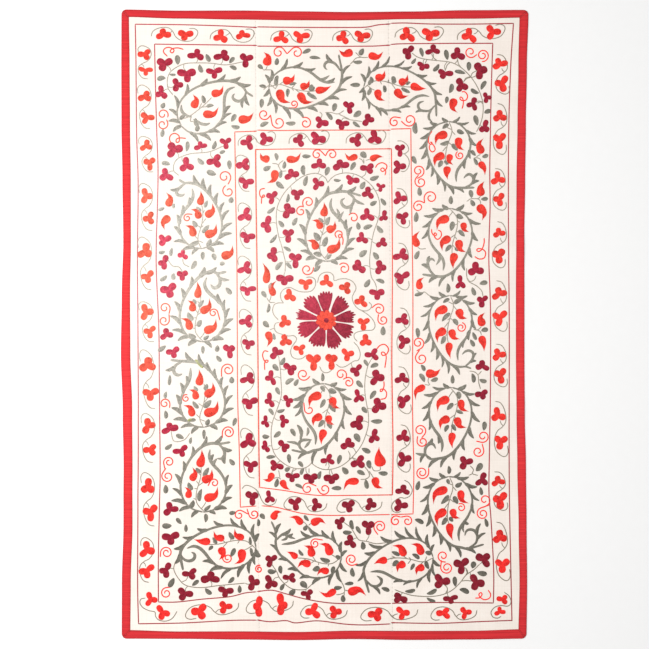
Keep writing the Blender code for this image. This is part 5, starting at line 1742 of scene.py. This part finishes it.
long_way = np.linspace(-HALF_LENGTH + 0.036, HALF_LENGTH - 0.036, 200)  # they end short of the corners
cross_way = np.linspace(-HALF_WIDTH + 0.040, HALF_WIDTH - 0.040, 130)
hem = Needlework("hem_stitches", "sewing_red")
for side in (LEFT, RIGHT, FOOT, HEAD):
    run = long_way if side.lengthwise else cross_way
    turned_edge = side.inner(run) - side.inward * HEM_INSET
    path = np.column_stack([turned_edge, run] if side.lengthwise else [run, turned_edge])
    stitches_along(hem, path, HEM_PITCH, HEM_SLANT, HEM_RISE)
seam_work = Needlework("seam_stitches", "sewing_cream")
for seam in SEAMS:
    path = np.column_stack([seam_x(seam, long_way), long_way])
    stitches_along(seam_work, path, SEAM_PITCH, SEAM_SLANT, SEAM_RISE)

# %% [markdown]
# All shapes of one thread and one kind are now joined, so the whole needlework is some twenty meshes.

# %% Joining the needlework
total = sum(work.make() for work in PIECES.values())
print("needlework triangles:", total)

# %% [markdown]
# ## Floor, light and camera
# The cloth lies on white. The floor is matt paint, wide enough to fill every view, with no shine that
# could show where it ends.

# %% Floor
FLOOR_SIDE = 14


def floor_paint():
    material = new_material("matt_white_paint")
    place = add(material, "ShaderNodeTexCoord", {}).outputs["Object"]
    grain = add(material, NOISE, {"Vector": place, "Scale": 30.0})
    ramp = add(material, "ShaderNodeValToRGB", {"Fac": grain})
    set_steps(ramp, [(0.3, "EEEEEE"), (0.7, "EFEFEF")])
    return finish_material(material, Base_Color=ramp, Roughness=0.95)


bpy.ops.object.select_all(action="DESELECT")
bpy.ops.mesh.primitive_plane_add(size=FLOOR_SIDE)
floor = object_named("floor")
floor.data.materials.append(floor_paint())

# %% [markdown]
# The light of the photograph is soft and comes from the left. A white sky gives most of it, and one large
# lamp beside the cloth adds what makes the ridges and the thread cast a little shade.

# %% Light
SKY_STRENGTH = 0.80
KEY_PLACE = (-2.0, 0.2, 2.6)
KEY_SIZE = 1.8
KEY_POWER = 76.5
KEY_AIM = (0.1, 0.0, 0.0)

world = bpy.data.worlds.new("studio")
bpy.context.scene.world = world
world.use_nodes = True
world.node_tree.nodes["Background"].inputs["Color"].default_value = (1, 1, 1, 1)
world.node_tree.nodes["Background"].inputs["Strength"].default_value = SKY_STRENGTH

key = bpy.data.lights.new("key", "AREA")
key.energy = KEY_POWER
key.size = KEY_SIZE
key.color = linear("FFFDFA")[:3]
key_lamp = bpy.data.objects.new("key", key)
key_lamp.location = KEY_PLACE
aim = np.array(KEY_AIM) - np.array(KEY_PLACE)
key_lamp.rotation_euler = (math.atan2(math.hypot(aim[0], aim[1]), -aim[2]), 0, math.atan2(-aim[0], aim[1]))
bpy.context.scene.collection.objects.link(key_lamp)

# %% [markdown]
# The camera looks straight down. A long lens keeps the view nearly flat, and it hangs at the height from
# which one pixel of cloth in the photograph is one pixel of the picture.

# %% Camera
IMAGE_SIDE = 649
LENS = 85.0
SENSOR = 36.0

camera_data = bpy.data.cameras.new("camera")
camera_data.lens = LENS
camera_data.sensor_width = SENSOR
camera_height = IMAGE_SIDE * PIXEL * LENS / SENSOR
camera = bpy.data.objects.new("camera", camera_data)
middle_x, middle_y = on_cloth(IMAGE_SIDE / 2, IMAGE_SIDE / 2)
camera.location = (middle_x, middle_y, camera_height)
bpy.context.scene.collection.objects.link(camera)
bpy.context.scene.camera = camera
bpy.context.scene.view_settings.view_transform = "Standard"
print(f"camera {camera_height:.2f} m above the cloth")
